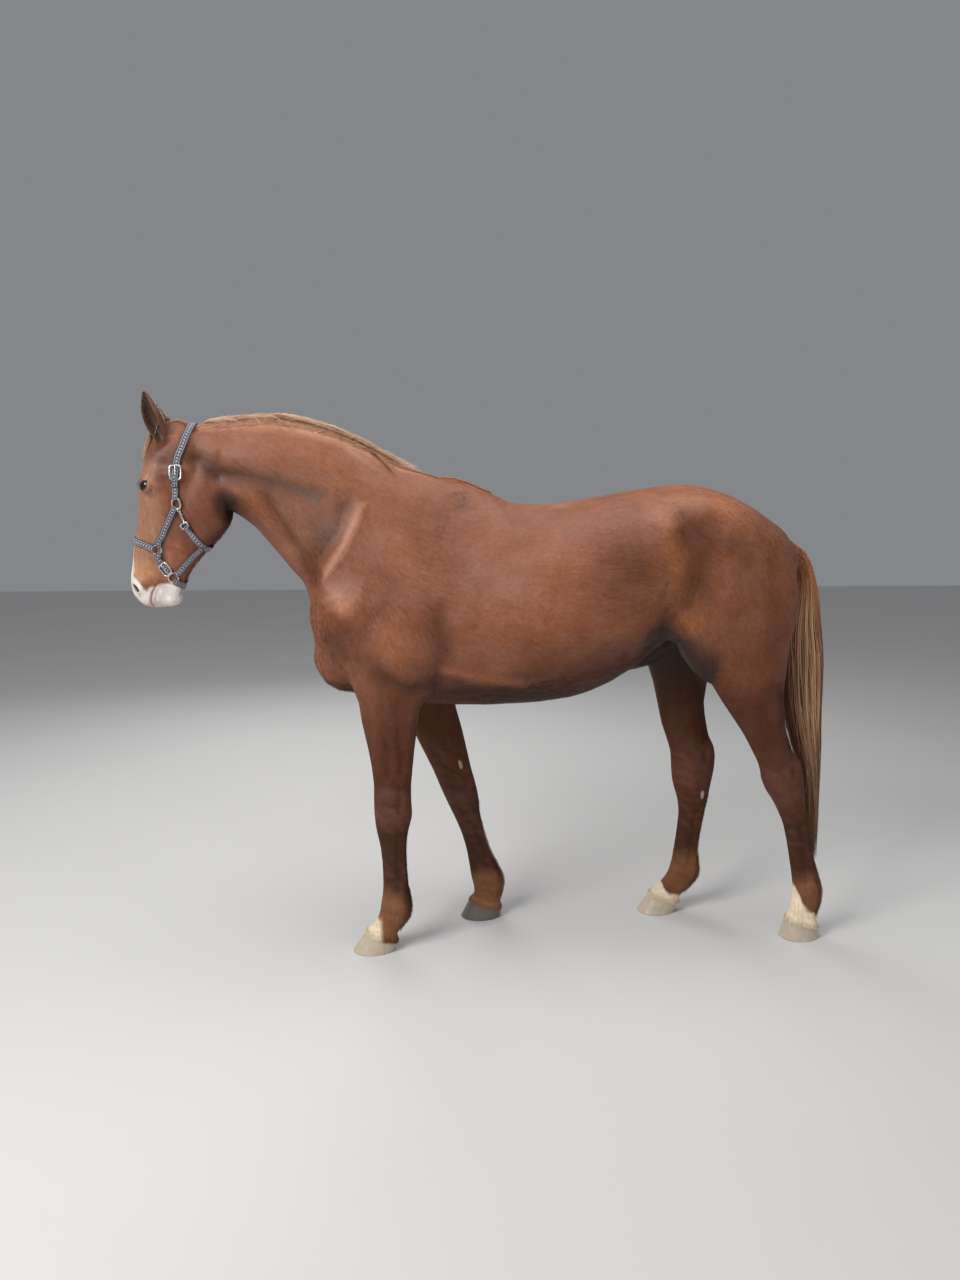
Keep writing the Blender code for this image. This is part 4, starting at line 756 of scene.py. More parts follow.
def refine(bm, zones, passes=3):
    # shortens the edges that lie near any (centre, radius, wanted length)
    for _ in range(passes):
        chosen = []
        for edge in bm.edges:
            middle = (edge.verts[0].co + edge.verts[1].co) / (2 * cm)
            if middle.x > -100 or middle.z < 118:
                continue
            for centre, radius, wanted in zones:
                if edge.calc_length() > wanted * cm * 1.35 and (middle - centre).length < radius:
                    chosen.append(edge)
                    break
        if not chosen:
            break
        bmesh.ops.subdivide_edges(bm, edges=chosen, cuts=1)
        triangulate(bm)


def relax(bm, verts):
    bmesh.ops.smooth_vert(bm, verts=verts, factor=0.5, use_axis_x=True, use_axis_y=True, use_axis_z=True)


def detailHead(skin):
    zones = []
    for side in (-1, 1):
        zones.append((eyeFrame(side)[0], 4.6, 0.2))
        zones += [(mirrored(centre, side), radius, wanted) for centre, radius, wanted in fineZones]
    bm = bmesh.new()
    bm.from_mesh(skin.data)
    refine(bm, zones)
    for centre, radius, wanted in zones:
        relax(bm, [v for v in bm.verts if (v.co / cm - centre).length < radius - 0.3])
    bm.normal_update()
    surface = BVHTree.FromBMesh(bm)
    for side in (-1, 1):
        ear = [v for v in bm.verts if v.co.z > 1.755 and v.co.y * side > 0.015 and -1.18 < v.co.x < -1.0]
        shapeEar(ear, side)
        carveEar(ear, side)
        foot = [v for v in ear if v.co.z < 1.812]
        for _ in range(4):
            relax(bm, foot)
        face = [v for v in bm.verts if v.co.z < 1.38 and v.co.y * side > 0 and v.co.x < -1.0]
        nostrilPlaces[side] = shapeNostril(face, surface, side)
        shapeEye([v for v in bm.verts if 1.56 < v.co.z < 1.73 and v.co.y * side > 0.03 and v.co.x < -1.04], side)
    bm.normal_update()
    lips = [v for v in bm.verts if 1.20 < v.co.z < 1.325 and v.co.x < -1.06]
    x, z = np.array([v.co.x for v in lips]) / cm, np.array([v.co.z for v in lips]) / cm
    for vert, away in zip(lips, distanceToPath(x, z, mouthForm["path"])):
        if abs(vert.co.y) > 0.01 or vert.co.z < 1.245:
            rise = -mouthForm["depth"] * bumpAt(away, 0, mouthForm["width"]) + 0.16 * bumpAt(away, 0.75, 0.4)
            vert.co += vert.normal * rise * cm
    triangulate(bm)
    for face in bm.faces:
        face.smooth = True
    bm.to_mesh(skin.data)
    bm.free()
    print("skin: with its features", len(skin.data.polygons))


# Colours of the coat, the same for the skin and for the hair that grows from it.
coatColours = {
    "chestnut": (0.232, 0.080, 0.038),
    "crest": (0.25, 0.082, 0.038),
    "back": (0.30, 0.103, 0.048),
    "croup": (0.33, 0.120, 0.058),
    # painted highlight on the point of the shoulder, the shoulder's edge, the shoulder muscle and the hip
    "light": (0.46, 0.215, 0.145),
    # painted shade, for the lower barrel and the grooves and dips of the body and head
    "low": (0.105, 0.031, 0.012),
    # painted shade, the darkest, on the underside of the barrel and in the dip behind the jaw
    "deepShade": (0.030, 0.009, 0.0035),
    "cheek": (0.150, 0.050, 0.028),
    "face": (0.37, 0.185, 0.112),
    # painted highlight on the facial crest and on the brow above the eye
    "paleHighlight": (0.42, 0.22, 0.17),
    "gold": (0.50, 0.235, 0.105),
    "fold": (0.27, 0.095, 0.028),
    # painted shade in the flank fold and between the thighs
    "groinShade": (0.02, 0.008, 0.005),
    "limb": (0.082, 0.0225, 0.0062),
    "joint": (0.110, 0.038, 0.022),
    "cannon": (0.048, 0.0130, 0.0036),
    "fetlock": (0.30, 0.125, 0.052),
    "white": (0.78, 0.745, 0.69),
    "cream": (0.90, 0.73, 0.53),
    "pink": (0.62, 0.42, 0.36),
    # painted shade inside the nostrils and in the crease of the mouth
    "dark": (0.030, 0.015, 0.011),
    # painted shade inside the cup of the ear
    "earShade": (0.060, 0.024, 0.014),
    "earBack": (0.110, 0.048, 0.026),
    # painted shade in the deep grooves of the neck and shoulder and in the dip behind the jaw
    "hollowShade": (0.052, 0.017, 0.009),
    "lid": (0.05, 0.028, 0.024),
    "horn": (0.45, 0.39, 0.33),
    "mane": (0.52, 0.26, 0.15),
}
# x, z, radius x, radius z, pitch, side (0 for both), colour, strength
coatMarks = [
    (-60, 180, 46, 12, -14, 0, "crest", 0.8),
    (30, 166, 95, 14, 0, 0, "back", 0.8),
    (86, 164, 34, 18, -8, 0, "croup", 0.9),
    # painted shade on the lower barrel
    (22, 92, 64, 16, 0, 0, "low", 0.9),
    (30, 106, 34, 13, 0, 0, "low", 0.5),
    (-96, 153, 12, 17, 0, 0, "cheek", 0.92),
    # painted shade round the back of the jaw, on the throat and in the dip behind the jaw
    (-93, 144, 5, 9, -40, 0, "low", 0.7),
    (-83, 146, 22, 9, 40, 0, "low", 0.45),
    (-86, 157, 6.5, 9, 20, 0, "hollowShade", 0.95),
    (-85.5, 156.5, 3.6, 6, 20, 0, "deepShade", 0.7),
    (-64, 146, 6, 13, 10, 0, "face", 0.35),
    # painted shade below the point of the shoulder, and a painted highlight on the point itself
    (-49, 112, 9, 10, 0, 0, "low", 0.75),
    (-46, 127.5, 5.5, 8, 0, 0, "light", 0.5),
    # painted shade on the back of the thigh, round the front of the hip, on the loin and in the dip of the flank
    (94, 116, 14, 28, 0, 0, "low", 0.35),
    (72, 150, 13, 12, -24, 0, "low", 0.66),
    (74, 136, 8, 10, 0, 0, "low", 0.25),
    (47, 159, 9, 4.5, -24, 0, "low", 0.42),
    (50, 137, 7, 11, 14, 0, "low", 0.36),
    (24, 143, 20, 10, 0, 0, "back", 0.45),
    (0, 146, 9, 12, 0, 0, "back", 0.35),
    # a faint painted highlight on the shoulder muscle, painted shade in the dip behind the withers and a painted
    # highlight on the point of the hip
    (-30, 143, 9, 14, 20, 0, "light", 0.12),
    (-8, 160, 7, 6, 0, 0, "low", 0.35),
    (60, 155, 3.5, 6, 8, 0, "light", 0.22),
    (-108.5, 172.5, 8.5, 9.5, 0, 0, "cheek", 0.95),
    # painted shade in the dip of the temple
    (-107, 174, 6.5, 8, 0, 0, "low", 0.55),
    # painted shade in the flank fold
    (66.5, 109, 6, 6.5, 0, -1, "groinShade", 0.65),
    (-32, 54, 10, 10, 0, -1, "joint", 0.9),
    (-8, 53, 10, 10, 0, 1, "joint", 0.9),
    (108, 60, 12, 13, 0, -1, "joint", 0.9),
    (83, 60, 12, 13, 0, 1, "joint", 0.9),
    (-35, 13, 12, 13, 0, -1, "fetlock", 0.65),
    (4, 12, 12, 10, 0, 1, "fetlock", 0.6),
    (119, 16, 10, 12, 0, -1, "fetlock", 0.5),
    (80, 15, 12, 12, 0, 1, "fetlock", 0.5),
    (94.2, 87.5, 1, 1.3, 0, -1, "fetlock", 0.8),
    (-32.6, 124.2, 0.9, 1.1, 0, -1, "gold", 0.7),
]
# points, half width, colour, strength
coatLines = [
    # painted shade in the furrow under the crest, in front of the shoulder and in the jugular groove, and a
    # painted highlight on the shoulder's edge
    ([(-98.5, 174.5), (-89.3, 169), (-76.8, 167.9), (-65.6, 164.8), (-55.3, 160.8)], 3.6, "hollowShade", 0.66),
    ([(-46.5, 160), (-50, 150), (-56, 141)], 3.2, "low", 0.6),
    ([(-74, 161), (-67, 150), (-60, 140), (-57, 132)], 2.4, "low", 0.6),
    ([(-41.5, 158), (-44.4, 149.5), (-49.1, 141.3), (-55.3, 132.1)], 0.9, "light", 0.55),
    # painted shade behind and below the triceps, a painted highlight along the girth and painted shade along the
    # underside
    ([(-16.6, 124), (-13.6, 110), (-17.5, 100)], 3.4, "low", 0.65),
    ([(-38, 104), (-33, 99.5), (-25.2, 97), (-17.8, 98)], 3.2, "hollowShade", 0.7),
    ([(-14, 103), (-1.5, 100.5), (14, 98.6)], 1.3, "back", 0.6),
    ([(-14, 94.5), (10, 92), (38, 94), (58, 101)], 4.5, "deepShade", 0.75),
    ([(55, 103), (61, 109.5), (66.5, 115.5), (71, 110)], 0.6, "gold", 0.25),
    ([(63, 142), (65.4, 126), (68.4, 117)], 3.2, "fold", 0.7),
    # painted shade behind the flank fold and in front of the hock's tendon
    ([(72, 142), (73.5, 126)], 4, "low", 0.35),
    ([(103.4, 95), (107.4, 82), (111.4, 71)], 1.4, "low", 0.5),
    # a painted highlight down the facial crest
    ([(-113.2, 160), (-111.6, 154), (-110.8, 147)], 1, "paleHighlight", 0.4),
]
# x, z along the edge of the white muzzle
muzzleEdge = [
    (-123, 137), (-120.4, 134.8), (-118, 132.4), (-115.4, 129.0), (-110.5, 131.0), (-105.7, 132.0), (-102, 130.5),
]


def blend(colour, name, share):
    share = np.clip(share, 0, 1)[:, None]
    colour[:] = colour * (1 - share) + np.array(coatColours[name]) * share


def paintBody(colour, place, normal, broad, fine):
    x, y, z = place.T
    top = np.interp(x, [-40, 10, 60], [101, 101, 110])
    blend(colour, "limb", ease(top, top - 22, z + 3 * broad) * 0.95)
    # painted shade on the surfaces that face down under the barrel
    blend(colour, "deepShade", ease(-0.25, -0.8, normal[:, 2]) * (z > 84) * (x > -66) * (x < 80) * 0.85)
    blend(colour, "cannon", ease(50, 42, z) * 0.8)
    for cx, cz, rx, rz, pitch, side, name, strength in coatMarks:
        u, v = fromOval(x, z, cx, cz, pitch)
        share = ease(1.0, 0.45, np.hypot(u / rx, v / rz) + 0.10 * broad) * strength
        blend(colour, name, share if side == 0 else share * (y * side > 3))
    # painted shade on the inner sides of the thighs and under the flank
    inner = ease(0.2, -0.5, normal[:, 1] * np.sign(y)) * ease(84, 99, z) * ease(120, 112, z)
    inner = inner * (x > 48) * (x < 100)
    under = ease(0.1, -0.4, normal[:, 2]) * (z > 97) * (z < 118) * (x > 54) * (x < 80)
    blend(colour, "groinShade", np.maximum(inner, under) * 0.85)
    for points, width, name, strength in coatLines:
        blend(colour, name, strength * nearPath(x, z, points, width) * (z > relief["legTop"]))
    # the roots of the mane
    crest = np.array(maneForm["crest"])
    drop = np.interp(x, crest[::-1, 0], crest[::-1, 1]) - z
    blend(colour, "mane", ease(3.6, 1.4, drop + 0.5 * fine) * (x > -96) * (x < -25) * (np.abs(y) < 4.2) * 0.85)
    # horny chestnuts on the inner side of the far legs
    for spotX, spotZ, tilt in ((-6.9, 61.4, 0.25), (86.2, 47.7, 0.0)):
        reach = np.hypot((x - spotX + tilt * (z - spotZ)) / 0.75, (z - spotZ) / 1.8)
        blend(colour, "horn", ease(1.1, 0.8, reach) * (y > 5) * (normal[:, 1] < 0.1))
    blend(colour, "chestnut", 0.16 * ease(-0.1, 0.9, fine + broad) * (z < 100))


def paintFace(colour, place, normal, broad, fine):
    # the face in front of the cheek is lighter, the strip down its middle and the muzzle are white
    x, y, z = place.T
    onHead = ease(-88, -94, x)
    front = ease(-105.5, -111.5, x + 0.05 * (z - 150) + broad)
    blend(colour, "face", onHead * front * ease(131, 136, z) * ease(178, 167, z) * 0.85)
    blend(colour, "gold", onHead * np.exp(-(((x + 117.5) / 4.2) ** 2) - ((z - 135.5) / 3.2) ** 2) * 0.9)
    strip = np.interp(z, [130, 138, 146, 158, 168, 172], [4.2, 2.6, 1.7, 1.5, 2.1, 0.2])
    strip = ease(strip + 0.7, strip - 0.5, np.abs(y) + 0.3 * fine) * (normal[:, 0] < -0.1) * ease(173, 170, z)
    blend(colour, "white", onHead * strip * ease(-108, -111, x))
    edge = np.interp(x, *zip(*muzzleEdge))
    muzzle = ease(0.9, -0.7, z - edge + 0.5 * fine) * (x < -101.5) * (z < 140)
    blend(colour, "white", muzzle)
    lips = nearPath(x, z, mouthForm["path"], 1.5) + bell(z, 122.5, 1.6)
    blend(colour, "pink", muzzle * np.clip(lips * 0.65 + 0.12 + 0.15 * broad, 0, 0.85))
    # painted shade in the crease of the mouth
    blend(colour, "dark", muzzle * nearPath(x, z, mouthForm["path"], 0.22) * (np.abs(y) > 0.8) * 0.8)


def paintEye(colour, place, side):
    centre, *axes = eyeFrame(side)
    away = place - np.array(centre)
    out, nose, brow = (away @ np.array(axis) for axis in axes)
    near = np.nonzero((np.linalg.norm(away, axis=1) < 5.5) & (out > 0))[0]
    u = np.arctan2(nose[near], out[near]) * eyeball["radius"]
    v = np.arctan2(brow[near], out[near]) * eyeball["radius"]
    inside = np.array([insideEye(a, b) for a, b in zip(u, v)])
    share = np.zeros(len(place))
    share[near] = ease(-0.42, -0.12, inside)
    blend(colour, "lid", share * 0.85)
    # painted highlight on the brow above the eye
    share[near] = bell(inside, -1.25, 0.5) * (v > 0.2)
    blend(colour, "paleHighlight", share * 0.55)


def paintNostril(colour, place, side):
    centre, _, along, across = (np.array(v) for v in nostrilPlaces[side])
    away = place - centre
    near = (np.linalg.norm(away, axis=1) < nostrilForm["reach"]) & (place[:, 1] * side > 0)
    inside = insideNostril(away @ along / nostrilForm["halfLength"], away @ across, across)
    blend(colour, "pink", ease(-1.2, -0.1, inside) * near * 0.6)
    # painted shade deep inside the nostril
    blend(colour, "dark", ease(0.0, 0.45, inside) * near)


def paintEar(colour, place, normal, side):
    x, y, z = place.T
    rows = earFrames(side, 24)
    share = np.zeros(len(x))
    for i in np.nonzero((z > 176.5) & (y * side > 2) & (x < -100))[0]:
        spot = Vector(place[i])
        base, _, facing, across, width, _ = min(rows, key=lambda row: abs((spot - row[0]).dot(row[1])))
        away = spot - base
        if Vector(normal[i]).dot(facing) > 0 and away.length < width + 1.2:
            share[i] = between(0.98, 0.78, abs(away.dot(across)) / width) * between(177, 181, spot.z)
    back = ease(178, 183, z) * (y * side > 2) * ease(-104.5, -106.5, x) * (x > -120)
    blend(colour, "earBack", back * 0.85)
    # painted shade inside the cup of the ear, on the side that faces the opening
    blend(colour, "earShade", share * 0.95)


def paintFeet(colour, place, normal, fine):
    # white and pale hair low on three legs, and down the back of the far cannons
    x, y, z = place.T
    frontLeft = ease(13.5, 11, z + 0.6 * fine) * ease(-35.5, -37.5, x) * (y < 0) * (x < 0)
    blend(colour, "cream", frontLeft * 0.95)
    sock = 10.0 + 10.5 * bell(x, 113.4, 3.4)
    blend(colour, "cream", ease(sock + 0.9, sock - 0.7, z + 0.7 * fine) * (y < 0) * (x > 100))
    farHind = 7.6 + 7.0 * bell(x, 69.5, 3.0)
    blend(colour, "cream", ease(farHind + 0.8, farHind - 0.8, z + 0.6 * fine) * (y > 0) * (x > 50) * 0.9)
    blend(colour, "cream", ease(0.7, 0.95, normal[:, 0]) * ease(40, 30, z) * ease(11, 16, z) * (y > 3) * 0.6)
    farFore = np.interp(x, [-4, 9], [8.6, 5.6])
    blend(colour, "fetlock", ease(farFore + 0.7, farFore - 0.5, z) * (y > 0) * (x > -10) * (x < 20))


def coatColour(place, normal):
    # place in centimetres
    broad, fine = wander(place, 9.0, 0.4), wander(place, 1.6, 2.3)
    colour = np.tile(np.array(coatColours["chestnut"]), (len(place), 1))
    paintBody(colour, place, normal, broad, fine)
    paintFace(colour, place, normal, broad, fine)
    for side in (-1, 1):
        paintEye(colour, place, side)
        paintNostril(colour, place, side)
        paintEar(colour, place, normal, side)
    paintFeet(colour, place, normal, fine)
    # painted shade in the grooves and painted highlight along the ridges
    form = reliefHeight(place, normal) * (place[:, 0] > -100)
    tone = 1 + 0.055 * broad + 0.05 * fine + 0.05 * wander(place, 22.0, 5.1) + np.clip(0.32 * form, -0.42, 0.34)
    return np.clip(colour * tone[:, None], 0, 1)


# x, z, and which way the hair lies there in the side view
coatLay = [
    (-113, 172, -0.25, -1), (-117, 150, -0.1, -1), (-118, 130, 0.1, -1), (-106, 130, 0.5, -0.8),
    (-100, 160, 0.5, -1), (-100, 145, 0.7, -0.9), (-92, 178, 0.9, -0.6), (-75, 180, 1, -0.55),
    (-72, 160, 0.9, -0.8), (-50, 165, 1, -0.8), (-55, 140, 0.7, -1), (-55, 118, 0.2, -1),
    (-35, 150, 0.7, -1), (-35, 120, 0.6, -1), (-15, 140, 1, -0.6), (0, 155, 1, -0.35), (10, 120, 1, -0.45),
    (10, 95, 1, -0.1), (35, 150, 1, -0.3), (35, 110, 1, -0.2), (52, 130, 0.7, 0.4), (60, 150, 0.8, -0.7),
    (64, 120, 0.3, -1), (80, 158, 1, -0.4), (85, 130, 0.7, -1), (104, 130, 0.5, -1), (90, 100, 0.5, -1),
    (-32, 80, 0.3, -1), (-18, 80, 0.3, -1), (-31, 30, 0.15, -1), (0, 30, 0.3, -1), (116, 30, 0.25, -1),
    (82, 30, 0.1, -1), (75, 85, 0.2, -1), (100, 80, 0.5, -1), (-108, 190, -0.45, 0.9),
    (-112, 196, -0.45, 0.9),
]


def layOfHair(place, normal):
    total = np.zeros_like(place)
    weight = np.zeros(len(place))
    for cx, cz, dx, dz in coatLay:
        near = 1 / (6 + (place[:, 0] - cx) ** 2 + (place[:, 2] - cz) ** 2) ** 1.6
        length = math.hypot(dx, dz)
        total += near[:, None] * np.array((dx / length, 0, dz / length))
        weight += near
    total /= weight[:, None]
    # on surfaces that face forward or back the hair falls, and turns outward
    endways = np.clip(np.abs(normal[:, 0]) * 1.4 - 0.5, 0, 1)[:, None] * (place[:, 2:3] > 90)
    total = total * (1 - 0.6 * endways) + np.array((0, 0, -0.6)) * endways
    total -= normal * np.sum(total * normal, axis=1)[:, None]
    return total / np.maximum(np.linalg.norm(total, axis=1), 1e-6)[:, None]


def storeColour(mesh, name, values):
    layer = mesh.color_attributes.new(name, "FLOAT_COLOR", "POINT")
    if values.shape[1] == 3:
        values = np.hstack([values, np.ones((len(values), 1))])
    layer.data.foreach_set("color", values.astype(np.float32).ravel())


streakAngles = [0, -32, -62, -90]


def streakWeights(flow):
    # how much of each fixed streak direction a lie of the hair takes
    angle = np.degrees(np.arctan2(flow[:, 2], np.abs(flow[:, 0]) + 1e-6))
    weights = np.zeros((len(flow), 4))
    for i, wanted in enumerate(streakAngles):
        weights[:, i] = np.clip(1 - np.abs(angle - wanted) / 32, 0, 1)
    weights[angle > 0, 0] = 1
    return weights / np.maximum(weights.sum(axis=1), 1e-6)[:, None]


def addNode(tree, kind, inputs=(), **settings):
    node = tree.nodes.new("ShaderNode" + kind)
    for key, value in settings.items():
        setattr(node, key, value)
    for key, value in dict(inputs).items():
        if isinstance(value, bpy.types.NodeSocket):
            tree.links.new(value, node.inputs[key])
        else:
            node.inputs[key].default_value = value
    return node


def calc(tree, operation, *values):
    return addNode(tree, "Math", dict(enumerate(values)), operation=operation).outputs[0]


def stretch(tree, place, factors):
    return addNode(tree, "VectorMath", {0: place, 1: factors}, operation="MULTIPLY").outputs[0]


def noise(tree, place, scale, detail, **others):
    inputs = {"Vector": place, "Scale": scale, "Detail": detail, **others}
    return addNode(tree, "TexNoise", inputs).outputs["Fac"]


def spread(tree, value, low, high, start=0.0, end=1.0):
    inputs = {"Value": value, "From Min": low, "From Max": high, "To Min": start, "To Max": end}
    return addNode(tree, "MapRange", inputs).outputs[0]


def mixed(tree, share, first, second):
    inputs = {"Factor": share, "A": (*first, 1), "B": (*second, 1)}
    return addNode(tree, "Mix", inputs, data_type="RGBA").outputs["Result"]


def objectPlace(tree):
    return addNode(tree, "TexCoord").outputs["Object"]


def coatOf(tree):
    return addNode(tree, "Attribute", attribute_name="coat").outputs["Color"]


def newGroup(name, sockets):
    tree = bpy.data.node_groups.new(name, "ShaderNodeTree")
    for label, direction, kind, value in sockets:
        socket = tree.interface.new_socket(label, in_out=direction, socket_type="NodeSocket" + kind)
        if value is not None:
            socket.default_value = value
    return tree, tree.nodes.new("NodeGroupInput").outputs, tree.nodes.new("NodeGroupOutput").inputs


def makeStreakGroup():
    # hair-like streaks that follow the lie of the coat, from four fixed directions mixed by the mesh
    tree, start, end = newGroup("hairStreaks", [
        ("Length", "INPUT", "Float", 34.0), ("Fineness", "INPUT", "Float", 420.0),
        ("Height", "OUTPUT", "Float", None), ("Tone", "OUTPUT", "Float", None),
    ])
    place = objectPlace(tree)
    lay = addNode(tree, "Attribute", attribute_name="lay").outputs
    split = addNode(tree, "SeparateColor", {"Color": lay["Color"]}).outputs
    scale = {"X": start["Length"], "Y": start["Fineness"], "Z": start["Fineness"]}
    scale = addNode(tree, "CombineXYZ", scale).outputs[0]
    height = tone = 0.0
    for angle, share in zip(streakAngles, (split["Red"], split["Green"], split["Blue"], lay["Alpha"])):
        turned = {"Vector": place, "Angle": math.radians(angle)}
        turned = addNode(tree, "VectorRotate", turned, rotation_type="Y_AXIS").outputs[0]
        near = stretch(tree, turned, scale)
        wide = addNode(tree, "VectorMath", {0: near, "Scale": 0.22}, operation="SCALE").outputs[0]
        grain = noise(tree, near, 1.0, 2.0, Roughness=0.6, Distortion=0.15)
        height = calc(tree, "ADD", height, calc(tree, "MULTIPLY", grain, share))
        tone = calc(tree, "ADD", tone, calc(tree, "MULTIPLY", noise(tree, wide, 1.0, 1.0), share))
    tree.links.new(height, end["Height"])
    tree.links.new(tone, end["Tone"])
    return tree


def makeVaryGroup():
    # lightens and darkens a colour in soft patches and by a second mask
    tree, start, end = newGroup("variedColour", [
        ("Color", "INPUT", "Color", (0.5, 0.5, 0.5, 1)), ("Patches", "INPUT", "Float", 9.0),
        ("Amount", "INPUT", "Float", 0.2), ("Mask", "INPUT", "Float", 0.5),
        ("Mask Amount", "INPUT", "Float", 0.3), ("Paling", "INPUT", "Float", 0.0),
        ("Color", "OUTPUT", "Color", None),
    ])
    patches = noise(tree, objectPlace(tree), start["Patches"], 4.0, Roughness=0.6)
    first = calc(tree, "MULTIPLY", calc(tree, "SUBTRACT", patches, 0.5), start["Amount"])
    second = calc(tree, "MULTIPLY", calc(tree, "SUBTRACT", start["Mask"], 0.5), start["Mask Amount"])
    value = calc(tree, "ADD", calc(tree, "ADD", first, second), 1.0)
    paler = calc(tree, "MULTIPLY_ADD", calc(tree, "SUBTRACT", 0.5, patches), start["Paling"], 1.0)
    tinted = addNode(tree, "HueSaturation", {"Value": value, "Saturation": paler, "Color": start["Color"]})
    tree.links.new(tinted.outputs["Color"], end["Color"])
    return tree


streakGroup, varyGroup = makeStreakGroup(), makeVaryGroup()


def vary(tree, colour, patches, amount, mask=0.5, maskAmount=0.3, paling=0.0):
    inputs = {
        "Color": colour, "Patches": patches, "Amount": amount,
        "Mask": mask, "Mask Amount": maskAmount, "Paling": paling,
    }
    return addNode(tree, "Group", inputs, node_tree=varyGroup).outputs["Color"]


def newMaterial(name, **values):
    material = bpy.data.materials.new(name)
    material.use_nodes = True
    shader = material.node_tree.nodes["Principled BSDF"]
    for label, value in values.items():
        shader.inputs[label.replace("_", " ")].default_value = value
    return material, material.node_tree, shader


def finishMaterial(material, colour, roughness=None, height=None, strength=0.0, distance=0.0):
    tree = material.node_tree
    shader = tree.nodes["Principled BSDF"]
    tree.links.new(colour, shader.inputs["Base Color"])
    if roughness is not None:
        tree.links.new(roughness, shader.inputs["Roughness"])
    if height is not None:
        bump = addNode(tree, "Bump", {"Strength": strength, "Distance": distance, "Height": height})
        tree.links.new(bump.outputs["Normal"], shader.inputs["Normal"])
    return material


def makeCoatMaterial(name, bumpStrength):
    material, tree, _ = newMaterial(name, Specular_IOR_Level=0.32)
    streaks = addNode(tree, "Group", {"Length": 42.0, "Fineness": 700.0}, node_tree=streakGroup).outputs
    colour = vary(tree, coatOf(tree), 13.0, 0.42, streaks["Tone"], 0.6, paling=0.28)
    colour = vary(tree, colour, 75.0, 0.42, paling=0.12)
    level = addNode(tree, "SeparateXYZ", {"Vector": objectPlace(tree)}).outputs["Z"]
    lower = spread(tree, level, 1.15, 0.85, 0.0, 0.28)  # the legs shine less
    rough = calc(tree, "ADD", spread(tree, streaks["Tone"], 0.3, 0.7, 0.33, 0.55), lower)
    height = streaks["Height"] if bumpStrength else None
    return finishMaterial(material, colour, rough, height, bumpStrength, 0.0012)


def makeStoredMaterial(name, patches, amount, **values):
    # its colour comes with the mesh, lock by lock on hair
    material, tree, _ = newMaterial(name, **values)
    return finishMaterial(material, vary(tree, coatOf(tree), patches, amount))


def makeHornMaterial(name, pale, dark, streakShare):
    material, tree, _ = newMaterial(name, Roughness=0.42, Coat_Weight=0.12, Coat_Roughness=0.3)
    place = objectPlace(tree)
    grain = noise(tree, stretch(tree, place, (240, 240, 7)), 1.0, 3.0)
    rings = noise(tree, stretch(tree, place, (14, 14, 130)), 1.0, 2.0)
    share = calc(tree, "MULTIPLY", spread(tree, grain, 0.35, 0.7), streakShare)
    colour = vary(tree, mixed(tree, share, pale, dark), 30.0, 0.3, rings, 0.22)
    height = calc(tree, "ADD", grain, rings)
    return finishMaterial(material, colour, height=height, strength=0.22, distance=0.0008)


def makeLidMaterial():
    material, tree, _ = newMaterial("lidSkin", Roughness=0.35)
    grain = noise(tree, objectPlace(tree), 900.0, 2.0)
    colour = vary(tree, (0.028, 0.016, 0.014, 1), 200.0, 0.6, grain, 0.5)
    return finishMaterial(material, colour, height=grain, strength=0.3, distance=0.0003)


webbing = {"dark": (0.026, 0.029, 0.040), "light": (0.48, 0.47, 0.50), "chevron": 0.011, "thread": 0.0016}


def makeWebMaterial():
    # woven webbing: chevrons down the middle and a pale line along each side
    material, tree, _ = newMaterial("greyWebbing", Roughness=0.85, Sheen_Weight=0.3, Sheen_Roughness=0.5)
    uv = addNode(tree, "UVMap", uv_map="weave").outputs["UV"]
    split = addNode(tree, "SeparateXYZ", {"Vector": uv}).outputs
    across, along = split["X"], split["Y"]
    off = calc(tree, "ABSOLUTE", calc(tree, "SUBTRACT", across, 0.5))
    slant = calc(tree, "ADD", along, calc(tree, "MULTIPLY", off, 0.03))
    wave = calc(tree, "SINE", calc(tree, "MULTIPLY", slant, 2 * math.pi / webbing["chevron"]))
    band = spread(tree, off, 0.14, 0.17, 1.0, 0.0)
    chevrons = calc(tree, "MULTIPLY", spread(tree, wave, -0.25, 0.35), band)
    lines = calc(tree, "MULTIPLY", spread(tree, off, 0.25, 0.28), spread(tree, off, 0.36, 0.39, 1.0, 0.0))
    light = calc(tree, "MAXIMUM", chevrons, calc(tree, "MULTIPLY", lines, 0.62))
    weft = calc(tree, "SINE", calc(tree, "MULTIPLY", along, 2 * math.pi / webbing["thread"]))
    warp = calc(tree, "SINE", calc(tree, "MULTIPLY", across, 2 * math.pi * 14))
    threads = calc(tree, "MULTIPLY", weft, warp)
    colour = mixed(tree, light, webbing["dark"], webbing["light"])
    colour = vary(tree, colour, 70.0, 0.45, spread(tree, threads, -1.0, 1.0), 0.35)
    return finishMaterial(material, colour, height=threads, strength=0.4, distance=0.0004)


def makeSteelMaterial():
    material, tree, _ = newMaterial("brightSteel", Metallic=1.0)
    scuffs = noise(tree, objectPlace(tree), 260.0, 4.0, Roughness=0.7)
    colour = vary(tree, (0.74, 0.73, 0.72, 1), 90.0, 0.25, scuffs, 0.3)
    return finishMaterial(material, colour, spread(tree, scuffs, 0.3, 0.75, 0.14, 0.42), scuffs, 0.03, 0.0003)


